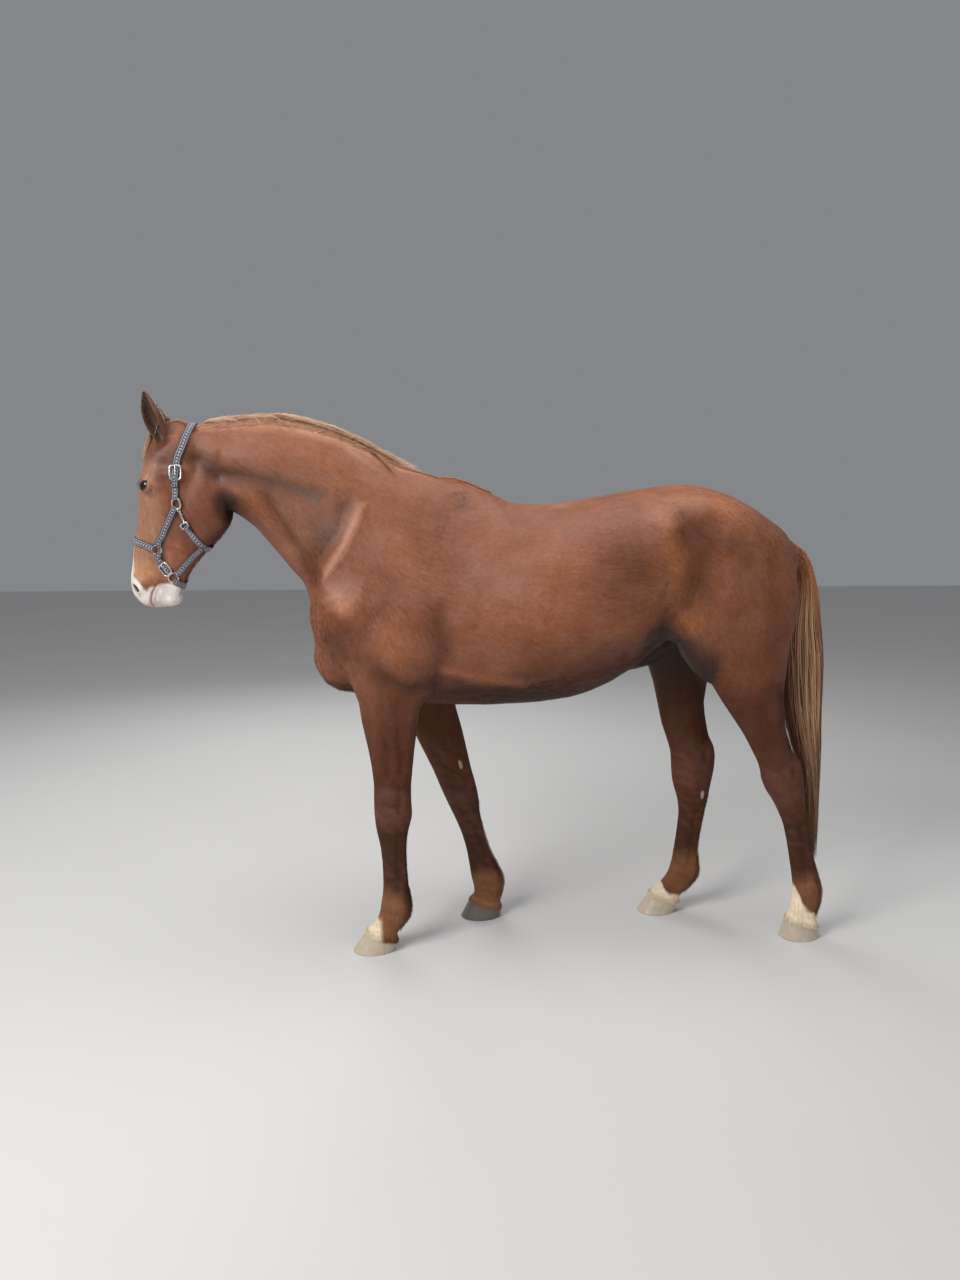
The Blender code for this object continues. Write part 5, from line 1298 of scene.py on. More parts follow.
coatMaterial = makeCoatMaterial("chestnutCoat", 0.6)
tuftMaterial = makeCoatMaterial("chestnutTufts", 0.0)
maneMaterial = makeStoredMaterial("gingerHair", 60.0, 0.3, Roughness=0.55, Specular_IOR_Level=0.35)
tailMaterial = makeStoredMaterial("tailHair", 60.0, 0.3, Roughness=0.55, Specular_IOR_Level=0.35)
eyeMaterial = makeStoredMaterial(
    "wetEye", 400.0, 0.6, Roughness=0.12, Coat_Weight=0.35, Coat_Roughness=0.05, IOR=1.36,
)
paleHorn = makeHornMaterial("paleHorn", (0.60, 0.50, 0.38), (0.40, 0.31, 0.22), 0.45)
darkHorn = makeHornMaterial("darkHorn", (0.16, 0.14, 0.118), (0.09, 0.077, 0.066), 0.5)
lidMaterial = makeLidMaterial()
webMaterial = makeWebMaterial()
steelMaterial = makeSteelMaterial()

view = {"place": (-0.2736, -3.4117, 1.600), "turn": 4.0, "drop": 8.3, "lens": 27.03}
lamps = [
    # name, place, aim, size, power
    ("keyLight", (-3.2, -3.0, 3.9), (0, 0, 1.1), 2.2, 185),
    ("topLight", (0.4, -0.4, 4.6), (0, 0, 1.0), 3.2, 80),
    ("fillLight", (3.4, -3.6, 2.2), (0.2, 0, 1.0), 3.0, 14),
    ("rimLight", (-1.0, 3.8, 3.2), (0, 0, 1.2), 2.6, 50),
]
studio = {"floor": (0.70, 0.69, 0.675, 1), "floorSize": 14, "sky": (0.86, 0.88, 0.92, 1), "skyStrength": 0.27}


def aimAt(piece, place, direction):
    piece.location = place
    piece.rotation_mode = "QUATERNION"
    piece.rotation_quaternion = direction.to_track_quat("-Z", "Y")


def addStage():
    camera = linked("camera", bpy.data.cameras.new("camera"))
    turn, drop = math.radians(view["turn"]), math.radians(view["drop"])
    forward = Vector((math.sin(turn) * math.cos(drop), math.cos(turn) * math.cos(drop), -math.sin(drop)))
    aimAt(camera, view["place"], forward)
    camera.data.lens = view["lens"]
    camera.data.sensor_fit = "VERTICAL"
    camera.data.sensor_height = 36
    scene.camera = camera
    bm = bmesh.new()
    bmesh.ops.create_grid(bm, x_segments=1, y_segments=1, size=studio["floorSize"])
    material, tree, _ = newMaterial("paleFloor", Roughness=0.85)
    cloud = noise(tree, objectPlace(tree), 1.2, 3.0)
    finishMaterial(material, vary(tree, studio["floor"], 0.8, 0.06, cloud, 0.04))
    makeObject("floor", bm, material, smooth=False)
    world = bpy.data.worlds.new("studio")
    world.use_nodes = True
    sky = world.node_tree.nodes["Background"].inputs
    sky["Color"].default_value, sky["Strength"].default_value = studio["sky"], studio["skyStrength"]
    scene.world = world
    for name, place, target, size, power in lamps:
        lamp = bpy.data.lights.new(name, "AREA")
        lamp.size, lamp.energy = size, power
        aimAt(linked(name, lamp), place, Vector(target) - Vector(place))
    scene.view_settings.view_transform = "Standard"
    print("stage: camera, floor and lights")


def unit(vectors):
    return vectors / np.maximum(np.linalg.norm(vectors, axis=-1, keepdims=True), 1e-9)


def meshFromArrays(name, verts, faces, material):
    # verts in centimetres, faces an array of equal-sided faces
    mesh = bpy.data.meshes.new(name)
    mesh.vertices.add(len(verts))
    mesh.vertices.foreach_set("co", (verts * cm).astype(np.float32).ravel())
    mesh.loops.add(faces.size)
    mesh.loops.foreach_set("vertex_index", faces.astype(np.int32).ravel())
    mesh.polygons.add(len(faces))
    mesh.polygons.foreach_set("loop_start", np.arange(0, faces.size, faces.shape[1], dtype=np.int32))
    mesh.polygons.foreach_set("use_smooth", np.ones(len(faces), dtype=bool))
    mesh.update(calc_edges=True)
    mesh.materials.append(material)
    return linked(name, mesh)


def loopCorners(mesh):
    corners = np.zeros(len(mesh.loops), dtype=np.int32)
    mesh.loops.foreach_get("vertex_index", corners)
    return corners


def storeUv(mesh, name, values):
    layer = mesh.uv_layers.new(name=name)
    layer.data.foreach_set("uv", values[loopCorners(mesh)].astype(np.float32).ravel())


def taper(steps, thick, root=0.55):
    t = np.linspace(0, 1, steps)
    return thick * (root + (1 - root) * np.clip(t * 4, 0, 1)) * np.clip(1.08 - t**2.2, 0.06, 1)


def lockWidths(count, steps, thick):
    return taper(steps, thick)[None, :] * (0.7 + 0.6 * rng.uniform(size=(count, 1)))


def lockColours(count, steps, root, middle, tip, spread=0.22):
    t = np.linspace(0, 1, steps)[None, :, None]
    root, middle, tip = (np.array(c) for c in (root, middle, tip))
    upper, lower = root + (middle - root) * (t / 0.35), middle + (tip - middle) * ((t - 0.35) / 0.65)
    colour = np.where(t < 0.35, upper, lower)
    return np.clip(colour * (1 + spread * rng.normal(size=(count, 1, 1))), 0.004, 1)


def buildLocks(name, paths, widths, colours, material, flatness=0.6):
    # three-sided tapering locks; paths (locks, steps, 3) in centimetres
    count, steps, _ = paths.shape
    run = unit(np.gradient(paths, axis=1))
    wide = unit(np.cross(run, rng.normal(size=(count, 1, 3))))
    up = np.cross(wide, run)
    rings = []
    for angle in around(3):
        rings.append(paths + widths[..., None] * (wide * math.cos(angle) + up * (math.sin(angle) * flatness)))
    verts = np.stack(rings, axis=2).reshape(-1, 3)
    base = (np.arange(count)[:, None, None] * steps + np.arange(steps - 1)[None, :, None]) * 3
    j = np.arange(3)[None, None, :]
    k = (j + 1) % 3
    faces = np.stack([base + j, base + k, base + 3 + k, base + 3 + j], axis=-1).reshape(-1, 4)
    piece = meshFromArrays(name, verts, faces, material)
    storeColour(piece.data, "coat", np.repeat(colours.reshape(-1, 3), 3, axis=0))
    # each lock has its own cell of the map
    grid = math.ceil(math.sqrt(count))
    cell = np.stack([np.arange(count) % grid, np.arange(count) // grid], axis=1)[:, None, None, :] / grid
    inner = np.broadcast_arrays(np.arange(3)[None, None, :] / 3, np.arange(steps)[None, :, None] / steps)
    inner = np.stack(inner, axis=-1)
    storeUv(piece.data, "OFBake", (cell + (0.1 + 0.8 * inner) / grid).reshape(-1, 2))
    print(name, len(faces) * 2, "triangles")
    return piece


def fallingLocks(surface, roots, starts, falls, lengths, lifts, steps=8, curl=0.45):
    # locks that rise from their roots, turn over and lie down along the body
    paths = np.zeros((len(roots), steps, 3))
    stride = np.linspace(0.4, 1.6, steps - 1)
    stride /= stride.sum()
    for i, (root, start) in enumerate(zip(roots, starts)):
        place, aim = Vector(root), Vector(start).normalized()
        paths[i, 0] = place
        for k in range(1, steps):
            place = place + aim * (lengths[i] * stride[k - 1])
            near, normal, _, _ = surface.find_nearest(place * cm)
            height = (place - near / cm).dot(normal)
            wanted = lifts[i] * (1 - 0.75 * k / (steps - 1)) + 0.12
            if height < wanted:
                place = near / cm + normal * wanted
            elif k > 2 and height > lifts[i] * 2.2:
                place = place - normal * 0.35 * (height - lifts[i])
            down = Vector(falls[i])
            down = (down - normal * down.dot(normal)).normalized()
            aim = (aim * (1 - curl) + down * curl).normalized()
            paths[i, k] = place
    return paths


def dropOn(surface, x, y):
    hit, _, _, _ = surface.ray_cast(Vector((x, y, 200)) * cm, Vector((0, 0, -1)))
    return np.array(hit) / cm


eyeColours = {"white": (0.022, 0.014, 0.011), "iris": (0.026, 0.012, 0.006), "pupil": (0.004, 0.004, 0.006)}
lashForm = {"count": 46, "steps": 5, "length": 1.5, "thick": 0.035, "colour": (0.05, 0.03, 0.02)}


def buildEyeball(side, word):
    centre, out, nose, brow = eyeFrame(side)
    turn = Matrix((nose, brow, out)).transposed().to_4x4()
    turn = Matrix.Translation(centre * cm) @ turn
    bm = bmesh.new()
    bmesh.ops.create_uvsphere(bm, u_segments=48, v_segments=32, radius=eyeball["radius"] * cm, matrix=turn)
    eye = makeObject(f"eyeball_{word}", bm, eyeMaterial)
    away = meshArrays(eye.data)[0] / cm - np.array(centre)
    depth = away @ np.array(out)
    # the pupil is a level oval whatever the head does
    level = np.array((out.cross(Vector((0, 0, 1)))).normalized())
    rise = np.cross(level, np.array(out))
    u, v = away @ level, away @ rise
    pupil = ease(1.15, 0.8, np.hypot(u / 0.85, v / 0.5)) * (depth > 0)
    iris = ease(1.1, 0.9, np.hypot(u, v) / 1.75) * (depth > 0)
    spokes = 1 + 0.25 * np.sin(np.arctan2(v, u) * 22)
    colour = np.tile(np.array(eyeColours["white"]), (len(u), 1))
    colour = colour * (1 - iris[:, None]) + np.array(eyeColours["iris"]) * spokes[:, None] * iris[:, None]
    colour = colour * (1 - pupil[:, None]) + np.array(eyeColours["pupil"]) * pupil[:, None]
    storeColour(eye.data, "coat", colour)
    settle(eye, "eye_brown", f"eye_{word}")


def buildLidMargin(side, word):
    centre, out, nose, brow = eyeFrame(side)
    radius = eyeball["radius"]
    bm = bmesh.new()
    loops = []
    for i, angle in enumerate(around(40)):
        u = eyeForm["halfLength"] * math.cos(angle)
        v = 0 if i in (0, 20) else lidEdge(u)[0 if math.sin(angle) > 0 else 1]
        aim = (out + nose * math.tan(u / radius) + brow * math.tan(v / radius)).normalized()
        middle = centre + aim * (radius + 0.12)
        toward = nose * math.cos(angle) + brow * math.sin(angle)
        toward = (toward - aim * toward.dot(aim)).normalized()
        places = [middle + aim * math.cos(a) * 0.16 + toward * math.sin(a) * 0.13 for a in around(8)]
        loops.append(ringOf(bm, places))
    joinLoops(bm, loops, closed=True)
    settle(makeObject(f"lidMargin_{word}", outward(bm), lidMaterial), "eye_brown")


def buildLashes(side, word):
    centre, out, nose, brow = eyeFrame(side)
    radius = eyeball["radius"]
    count, steps = lashForm["count"], lashForm["steps"]
    lashes = []
    for u in np.linspace(-1.35, 1.55, count) + 0.03 * rng.normal(size=count):
        aim = (out + nose * math.tan(u / radius) + brow * math.tan(lidEdge(u)[0] / radius)).normalized()
        start = centre + aim * (radius + 0.2)
        lean = 0.35 * u / 1.5 + 0.08 * rng.normal()
        reach = lashForm["length"] * (1 - 0.25 * abs(u)) * rng.uniform(0.75, 1.1)
        lashes.append([
            start + (aim * t + nose * lean * t + brow * (0.55 * t * t - 0.25 * t)) * reach
            for t in np.linspace(0, 1, steps)
        ])
    widths = np.tile(taper(steps, lashForm["thick"]), (count, 1))
    colours = lockColours(count, steps, *[lashForm["colour"]] * 3)
    settle(buildLocks(f"lashes_{word}", np.array(lashes), widths, colours, maneMaterial), "mane_hair")


hooves = {
    # side, toe and heel x at the floor, coronet front and rear (x, z), material, slot
    "forehoof_left": (-1, -46.6, -31.8, (-41.9, 7.6), (-30.6, 3.9), paleHorn, "pale_horn"),
    "forehoof_right": (1, -6.6, 8.6, (-3.2, 7.2), (9.0, 4.0), darkHorn, "dark_horn"),
    "hindhoof_left": (-1, 110.2, 124.6, (112.2, 7.6), (124.4, 4.2), paleHorn, "pale_horn"),
    "hindhoof_right": (1, 62.8, 77.4, (67.4, 7.6), (79.4, 4.0), paleHorn, "pale_horn"),
}
hoofForm = {
    "y": 13.0, "count": 40, "levels": 18, "ringHeight": 0.016,
    "soleHalf": 6.12, "coronetHalf": 4.95, "skinHalf": 4.8, "flareHeight": 2.9,
}


def flareCoronets(skin):
    # just above each hoof the skin widens until it is flush with the horn
    place, _ = meshArrays(skin.data)
    place = place / cm
    for side, _, _, front, rear, *_ in hooves.values():
        x, y, z = place.T
        slope = (rear[1] - front[1]) / (rear[0] - front[0])
        height = z - front[1] - slope * (x - front[0])
        half = (rear[0] - front[0]) / 2
        across = (x - front[0] - half) / half, (y - side * hoofForm["y"]) / hoofForm["skinHalf"]
        reach = (np.abs(across[0]) ** 2.2 + np.abs(across[1]) ** 2.2) ** (1 / 2.2)
        share = ease(hoofForm["flareHeight"], 0.0, height) * (height > -1.0) * (y * side > 3)
        share = share * (reach > 0.4) * (reach < 1.6)
        grow = 1 + (0.985 / np.maximum(reach, 0.1) - 1) * share
        place[:, 0] = x + across[0] * half * (grow - 1)
        place[:, 1] = y + across[1] * hoofForm["skinHalf"] * (grow - 1)
    setPlaces(skin.data, place * cm)


def buildHoof(name, side, toe, heel, front, rear, material, slotName):
    bm = bmesh.new()

    def outline(start, end, halfWidth, dish=0.0):
        places = []
        for angle in around(hoofForm["count"]):
            t = (1 - math.cos(angle)) / 2
            across = bend(math.sin(angle), 2.2) * halfWidth * (1 - 0.13 * t)
            heelNotch = 0.5 * bumpAt(abs(math.sin(angle)), 0, 0.22) * (t > 0.5)
            x = start[0] + (end[0] - start[0]) * t - heelNotch * dish
            places.append(Vector((x, side * hoofForm["y"] + across, start[1] + (end[1] - start[1]) * t)))
        return ringOf(bm, places)

    loops = [
        outline((toe + 0.9, 0.55), (heel - 1.4, 0.55), 5.2, 1.0),  # the hollow of the sole
        outline((toe + 0.8, 0.12), (heel - 1.2, 0.12), 5.35, 1.0),
        outline((toe + 0.1, 0), (heel - 0.1, 0), 6.05, 1.0),
        outline((toe, 0.22), (heel, 0.2), 6.15, 1.0),
    ]
    for k in range(1, hoofForm["levels"] + 1):
        t = k / hoofForm["levels"]
        x0 = toe + 0.1 + (front[0] - 0.15 - toe - 0.1) * t
        x1 = heel + (rear[0] + 0.15 - heel) * t
        z0, z1 = 0.25 + (front[1] - 0.55 - 0.25) * t, 0.22 + (rear[1] - 0.5 - 0.22) * t
        grow = hoofForm["ringHeight"] * math.sin(t * 31) + 0.008 * math.sin(t * 71)
        flare = 0.22 * bumpAt(t, 1.0, 0.10)
        halfWidth = hoofForm["soleHalf"] + (hoofForm["coronetHalf"] - hoofForm["soleHalf"]) * t**0.85
        halfWidth = halfWidth + grow + flare * 0.3
        loops.append(outline((x0 - grow - flare, z0), (x1 + grow + flare * 0.4, z1), halfWidth, 1 - t))
    loops.append(outline((front[0] + 0.5, front[1] + 0.25), (rear[0] - 0.5, rear[1] + 0.2), 4.35))
    joinLoops(bm, loops)
    settle(makeObject(name + "_horn", outward(bm), material), slotName, name)


maneForm = {
    "locks": 3000,
    "crest": [
        (-25, 171.0), (-28, 172.0), (-38.5, 177.3), (-50, 182.8),
        (-62, 186.2), (-74, 187.4), (-86, 186.2), (-95, 185.6),
    ],
    "length": 12.5,
    "rise": 1.0,
    "colours": ((0.36, 0.145, 0.075), (0.72, 0.45, 0.30), (0.90, 0.66, 0.48)),  # root, middle, tip
    "slipped": 46,
    "slippedColours": ((0.24, 0.09, 0.04), (0.34, 0.14, 0.065), (0.55, 0.29, 0.16)),
}
fringeForm = {
    "locks": 3200, "from": -105, "to": 3,
    "colours": ((0.28, 0.10, 0.048), (0.54, 0.27, 0.16), (0.88, 0.60, 0.42)),
}
forelockForm = {
    "locks": 420, "lengths": (8.5, 18.5),
    "colours": ((0.26, 0.10, 0.045), (0.46, 0.25, 0.13), (0.62, 0.40, 0.23)),
}


def buildMane(surface):
    # the mane rises from the crest and falls to the far side
    count, steps = maneForm["locks"], 11
    crest = np.array(smoothRows([(x, 0, z) for x, z in maneForm["crest"]], 60))
    at = np.sort(rng.uniform(0, 59, count))
    x = np.interp(at, np.arange(60), crest[:, 0])
    along = at / 59
    clump = np.floor(at * 1.9)
    clumpTurn = np.sin(clump * 2.4) * 0.4
    y = rng.normal(0.35, 0.6, count)
    roots = [dropOn(surface, a, b) for a, b in zip(x, y)]
    starts = [(0.42 + 0.15 * turn, 0.5 + 0.06 * rng.normal(), 0.8) for turn in clumpTurn]
    falls = [(0.34 + 0.18 * turn + 0.04 * rng.normal(), 0.0, -1.0) for turn in clumpTurn]
    ends = np.clip(along * 8, 0.35, 1) * np.clip((1 - along) * 9, 0.5, 1)
    lengths = maneForm["length"] * ends * (1 + 0.10 * rng.normal(size=count) + 0.12 * np.cos(clump * 1.7))
    lifts = maneForm["rise"] * (0.5 + 0.8 * rng.uniform(size=count)) * np.clip(along * 10, 0.4, 1)
    paths = fallingLocks(surface, roots, starts, falls, lengths, lifts, steps, curl=0.25)
    widths = lockWidths(count, steps, 0.08)
    colours = lockColours(count, steps, *maneForm["colours"], 0.16)
    # one small lock has slipped to the near side before the withers
    count = maneForm["slipped"]
    t = np.linspace(0, 1, count)
    roots = [dropOn(surface, -38.5 + 2.2 * a, -1.2 - 0.8 * math.sin(a * 9)) for a in t]
    starts, falls = [(0.5, -0.6, 0.35)] * count, [(0.75, -0.3, -1.0)] * count
    lengths = rng.uniform(8.5, 12.5, count)
    slipped = fallingLocks(surface, roots, starts, falls, lengths, np.full(count, 0.35), steps)
    slipped[:, :, 0] += np.linspace(0, 1, steps)[None, :] * (0.6 - t[:, None]) * 1.6
    paths = np.concatenate([paths, slipped])
    widths = np.concatenate([widths, taper(steps, 0.12)[None, :] * np.ones((count, 1))])
    colours = np.concatenate([colours, lockColours(count, steps, *maneForm["slippedColours"])])
    settle(buildLocks("maneLocks", paths, widths, colours, maneMaterial), "mane_hair", "mane")


def buildFringe(surface):
    # shorter hair on the near side is swept back and over the crest, and runs on to the withers
    count, steps = fringeForm["locks"], 6
    x = rng.uniform(fringeForm["from"], fringeForm["to"], count)
    late = ease(-34, -12, x)
    y = -rng.uniform(0, 1, count) ** 1.2 * (2.9 - 2.0 * late)
    roots = [dropOn(surface, a, b) for a, b in zip(x, y)]
    starts = [(0.9, 0.45 + 0.06 * rng.normal(), 0.40) for _ in x]
    falls = [(1.0, 0.5 + 0.06 * rng.normal(), 0.22) for _ in x]
    lengths = rng.uniform(2.4, 4.6, count) * (1 - 0.35 * late)
    lifts = rng.uniform(0.05, 0.36, count) * (1 - 0.3 * late)
    paths = fallingLocks(surface, roots, starts, falls, lengths, lifts, steps)
    widths = lockWidths(count, steps, 0.042)
    colours = lockColours(count, steps, *fringeForm["colours"], 0.14)
    settle(buildLocks("maneFringe", paths, widths, colours, maneMaterial), "mane_hair")


def buildForelock(surface):
    count, steps = forelockForm["locks"], 10
    y = np.clip(rng.normal(0, 0.8, count), -1.7, 1.7)
    roots = [dropOn(surface, a, b) for a, b in zip(rng.uniform(-109.6, -105.8, count), y)]
    starts = [(-1.0, 0.10 * a + 0.03 * rng.normal(), 0.10) for a in y]
    falls = [(-0.35, 0.10 * a + 0.04 * rng.normal(), -1.0) for a in y]
    lengths, lifts = rng.uniform(*forelockForm["lengths"], count), rng.uniform(0.15, 0.8, count)
    paths = fallingLocks(surface, roots, starts, falls, lengths, lifts, steps, curl=0.55)
    widths = lockWidths(count, steps, 0.085)
    colours = lockColours(count, steps, *forelockForm["colours"], 0.18)
    settle(buildLocks("forelockLocks", paths, widths, colours, maneMaterial), "mane_hair", "forelock")


tailForm = {
    "locks": 1500,
    "steps": 15,
    "rows": [
        (111, 149, 107.5, 140.5, 3.6, 0), (116.4, 145.6, 111.5, 137.8, 3.7, 0),
        (120.2, 141.9, 114.4, 134.2, 3.9, 0), (123.2, 134.7, 114.2, 129, 4.3, 0),
        (124.8, 127.3, 112.7, 122.8, 4.9, 0), (126.1, 116.3, 110.6, 112.6, 5.6, 0),
        (127.4, 105.1, 110.6, 102.6, 6, 0), (128, 93.8, 110.8, 91.5, 6, 0),
        (128.1, 78.6, 113.6, 78, 5.4, 0), (128.5, 63.2, 118.8, 62.8, 4.4, 0),
        (128.5, 47.6, 123, 47.4, 3.2, 0), (128.4, 35.8, 125.2, 35.4, 2, 0),
        (127.9, 25.4, 126.9, 25.2, 0.7, 0),
    ],
    "rear": 128.3,
    "top": (0.50, 0.21, 0.10), "low": (0.19, 0.080, 0.036),
    "flaxen": (0.78, 0.485, 0.285), "end": (0.25, 0.135, 0.066),
}


def buildTail():
    count, steps = tailForm["locks"], tailForm["steps"]
    rows = np.array(smoothRows(tailForm["rows"], 60, betweenEnds))
    angle = rng.uniform(0, 2 * math.pi, count)
    reach = np.sqrt(rng.uniform(0.12, 1, count)) * 0.93
    first = rng.uniform(0.0, 0.30, count) ** 1.25 * 0.9
    last = np.clip(rng.normal(0.84, 0.13, count), 0.45, 1.0)
    last = np.where(rng.uniform(size=count) < 0.35, 1 - 0.09 * rng.uniform(size=count) ** 1.5, last)
    t = np.linspace(0, 1, steps)[None, :]
    at = (first[:, None] + (last - first)[:, None] * t) * 59
    backX, backZ, frontX, frontZ, half = [np.interp(at, np.arange(60), rows[:, i]) for i in range(5)]
    middle = np.stack([(backX + frontX) / 2, np.zeros_like(at), (backZ + frontZ) / 2], axis=-1)
    deep = np.stack([(backX - frontX) / 2, np.zeros_like(at), (backZ - frontZ) / 2], axis=-1)
    # the locks turn about the dock and gather in bundles towards their ends
    sway = angle[:, None] + 0.35 * np.sin(2.2 * t + 5 * reach[:, None]) + 0.12 * rng.normal(size=(count, 1)) * t
    bundle = np.round(sway / 0.42) * 0.42
    sway = sway + (bundle - sway) * 0.55 * t
    share = reach[:, None] * np.clip(0.55 + 1.2 * t, 0, 1)
    share = share * (1 - 0.12 * np.abs(np.sin(sway * 7.5)) * t)
    paths = middle + deep * (np.cos(sway) * share)[..., None]
    paths[..., 1] += half * np.sin(sway) * share
    wave = 0.35 * np.sin(at * 0.32 + angle[:, None] * 3)
    paths[..., 0] += wave * 0.6 * t * (1 - t) - np.abs(rng.normal(size=(count, 1))) * 1.3 * t**4
    paths[..., 1] += rng.normal(size=(count, 1)) * 1.0 * t**4
    paths[..., 1] += wave * t
    paths[..., 0] = np.minimum(paths[..., 0], tailForm["rear"])
    widths = lockWidths(count, steps, 0.2)
    # ginger at the dock, darker below it, with flaxen strands and a dull tip
    flax = np.clip(0.5 + 0.9 * np.sin(angle * 2.0 + 3.9) + 0.35 * rng.normal(size=count), 0, 1)
    flax *= np.clip(0.25 + 0.75 * (np.sin(angle) < 0.35), 0, 1)
    height = paths[..., 2]
    top, low, light, end = (np.array(tailForm[name]) for name in ("top", "low", "flaxen", "end"))
    lower = ease(128, 100, height)[..., None]
    colour = top * (1 - lower) + low * lower
    pale = (flax[:, None] * ease(136, 118, height))[..., None] * 0.85
    colour = colour * (1 - pale) + light * pale
    tip = ease(80, 40, height)[..., None] * 0.6
    colour = colour * (1 - tip) + end * tip
    colour = np.clip(colour * (1 + 0.24 * rng.normal(size=(count, 1, 1))), 0.004, 1)
    settle(buildLocks("tailLocks", paths, widths, colour, tailMaterial), "tail_hair", "tail")


# Tufts in each part of the coat: count, then length, width and angle, each with its spread.
coatForm = {
    "coatBody": (90000, (1.2, 0.2), (0.13, 0.03), (0.07, 0.02)),
    "coatFine": (64000, (0.8, 0.15), (0.09, 0.02), (0.07, 0.025)),
    "coatFringe": (30000, (1.9, 0.5), (0.13, 0.03), (0.25, 0.09)),
}
tuftsPerPiece = 60000


def unwrapSkin(skin):
    bpy.context.view_layer.objects.active = skin
    skin.select_set(True)
    bpy.ops.object.mode_set(mode="EDIT")
    bpy.ops.mesh.select_all(action="SELECT")
    bpy.ops.uv.smart_project(angle_limit=math.radians(75), island_margin=0.001)
    bpy.ops.object.mode_set(mode="OBJECT")
    skin.data.uv_layers[0].name = "OFBake"
    print("skin: unwrapped")


def sampleSkin(weights, count):
    # evenly scattered places on the skin's triangles, each with its share of the three corners
    chosen = rng.choice(len(weights), size=count, p=weights / weights.sum())
    a, b = rng.uniform(size=count), rng.uniform(size=count)
    flip = a + b > 1
    a[flip], b[flip] = 1 - a[flip], 1 - b[flip]
    return chosen, np.stack([1 - a - b, a, b], axis=1)[..., None]


def flatten(flows, normals):
    return flows - normals * np.sum(flows * normals, axis=1)[:, None]


def buildTufts(name, roots, normals, flows, lengths, widths, angles, colours, spots, curl=0.25):
    count = len(roots)
    side = unit(np.cross(normals, flows))
    rise, lie = np.sin(angles)[:, None], np.cos(angles)[:, None]
    first = flows * lie + normals * rise
    second = unit(flows * lie + normals * rise * curl)
    foot = roots - normals * 0.04
    middle = foot + first * (lengths * 0.5)[:, None]
    tip = middle + second * (lengths * 0.5)[:, None]
    half = (widths * 0.5)[:, None] * side
    verts = [foot - half * 0.7, foot + half * 0.7, middle - half, middle + half, tip]
    verts = np.stack(verts, axis=1).reshape(-1, 3)
    base = np.arange(count)[:, None] * 5
    faces = np.stack([base + k for k in (0, 3, 1, 0, 2, 3, 2, 4, 3)], axis=-1).reshape(-1, 3)
    piece = meshFromArrays(name, verts, faces, tuftMaterial)
    shade = np.array([0.88, 0.88, 1.0, 1.0, 1.1])[None, :, None]
    tone = 1 + 0.07 * rng.normal(size=(count, 1, 1))
    storeColour(piece.data, "coat", np.clip(colours[:, None, :] * shade * tone, 0, 1).reshape(-1, 3))
    storeColour(piece.data, "lay", np.repeat(streakWeights(flows), 5, axis=0))
    # each tuft takes a small patch of the skin's own map
    patch = np.array([[-1, -1], [1, -1], [-1, 0], [1, 0], [0, 1]]) * 0.0015
    storeUv(piece.data, "OFBake", (spots[:, None, :] + patch[None]).reshape(-1, 2))
    lean = np.array([-1, 1, -1, 1, 0])[None, :, None]
    lean = unit(normals[:, None, :] + 0.12 * side[:, None, :] * lean)
    piece.data.normals_split_custom_set_from_vertices(lean.reshape(-1, 3))
    settle(piece, "chestnut_coat")
    return len(faces)


def coatWeights(place, normal, corners):
    # how thickly each part of the coat grows on every triangle of the skin
    first, second, third = (place[corners[:, i]] for i in range(3))
    area = np.linalg.norm(np.cross(second - first, third - first), axis=1)
    middle = place[corners].mean(axis=1)
    facing = unit(normal[corners].mean(axis=1))
    x, y, z = middle.T
    bare = np.zeros(len(x))
    for side in (-1, 1):
        for centre, reach in ((eyeFrame(side)[0], 2.9), (nostrilPlaces[side][0], 2.3)):
            bare = np.maximum(bare, np.linalg.norm(middle - np.array(centre), axis=1) < reach)
    bare = np.maximum(bare, (distanceToPath(x, z, mouthForm["path"]) < 0.9) & (x < -108) & (z < 132))
    coronet = np.zeros(len(x))
    for side, toe, heel, front, rear, *_ in hooves.values():
        line = front[1] + (rear[1] - front[1]) * (x - front[0]) / (rear[0] - front[0])
        near = (y * side > 3) & (x > min(toe, front[0]) - 3) & (x < max(heel, rear[0]) + 3)
        bare = np.maximum(bare, near & (z < line + 0.05))
        coronet = np.maximum(coronet, near & (z > line + 0.05) & (z < line + 1.1))
    fine = np.maximum(ease(-90, -96, x), ease(68, 52, z))
    ears = (z > 178) & (np.abs(y) > 2.5) & (x < -101)
    fringe = 3.2 * coronet
    fringe += 0.9 * (z < 24) * (z > 9) * (facing[:, 0] > 0.35)  # behind the fetlocks
    fringe += 0.25 * (z < 48) * (z >= 24) * (facing[:, 0] > 0.6)
    fringe += 0.30 * (facing[:, 2] < -0.55) * (z > 84) * (z < 112) * (x > -58) * (x < 62)  # under the belly
    fringe += 0.40 * (facing[:, 2] < -0.35) * (x < -84) * (z > 127) * (z < 160)  # under the jaw
    elbow = np.exp(-(((x + 20) / 4) ** 2) - ((z - 97) / 5) ** 2)
    flank = np.exp(-(((x - 64) / 5) ** 2) - ((z - 114) / 10) ** 2)
    fringe += 0.30 * elbow + 0.4 * flank
    fringe += 0.12 * (x < -52) * (facing[:, 0] < -0.3) * (z < 126)
    fringe += 0.3 * ears
    weights = {
        "coatBody": area * (1 - fine) * (1 - bare),
        "coatFine": area * fine * (1 - bare) * (1 - 0.6 * ears),
        "coatFringe": area * fringe * (1 - bare),
    }
    return weights, coronet > 0, ears


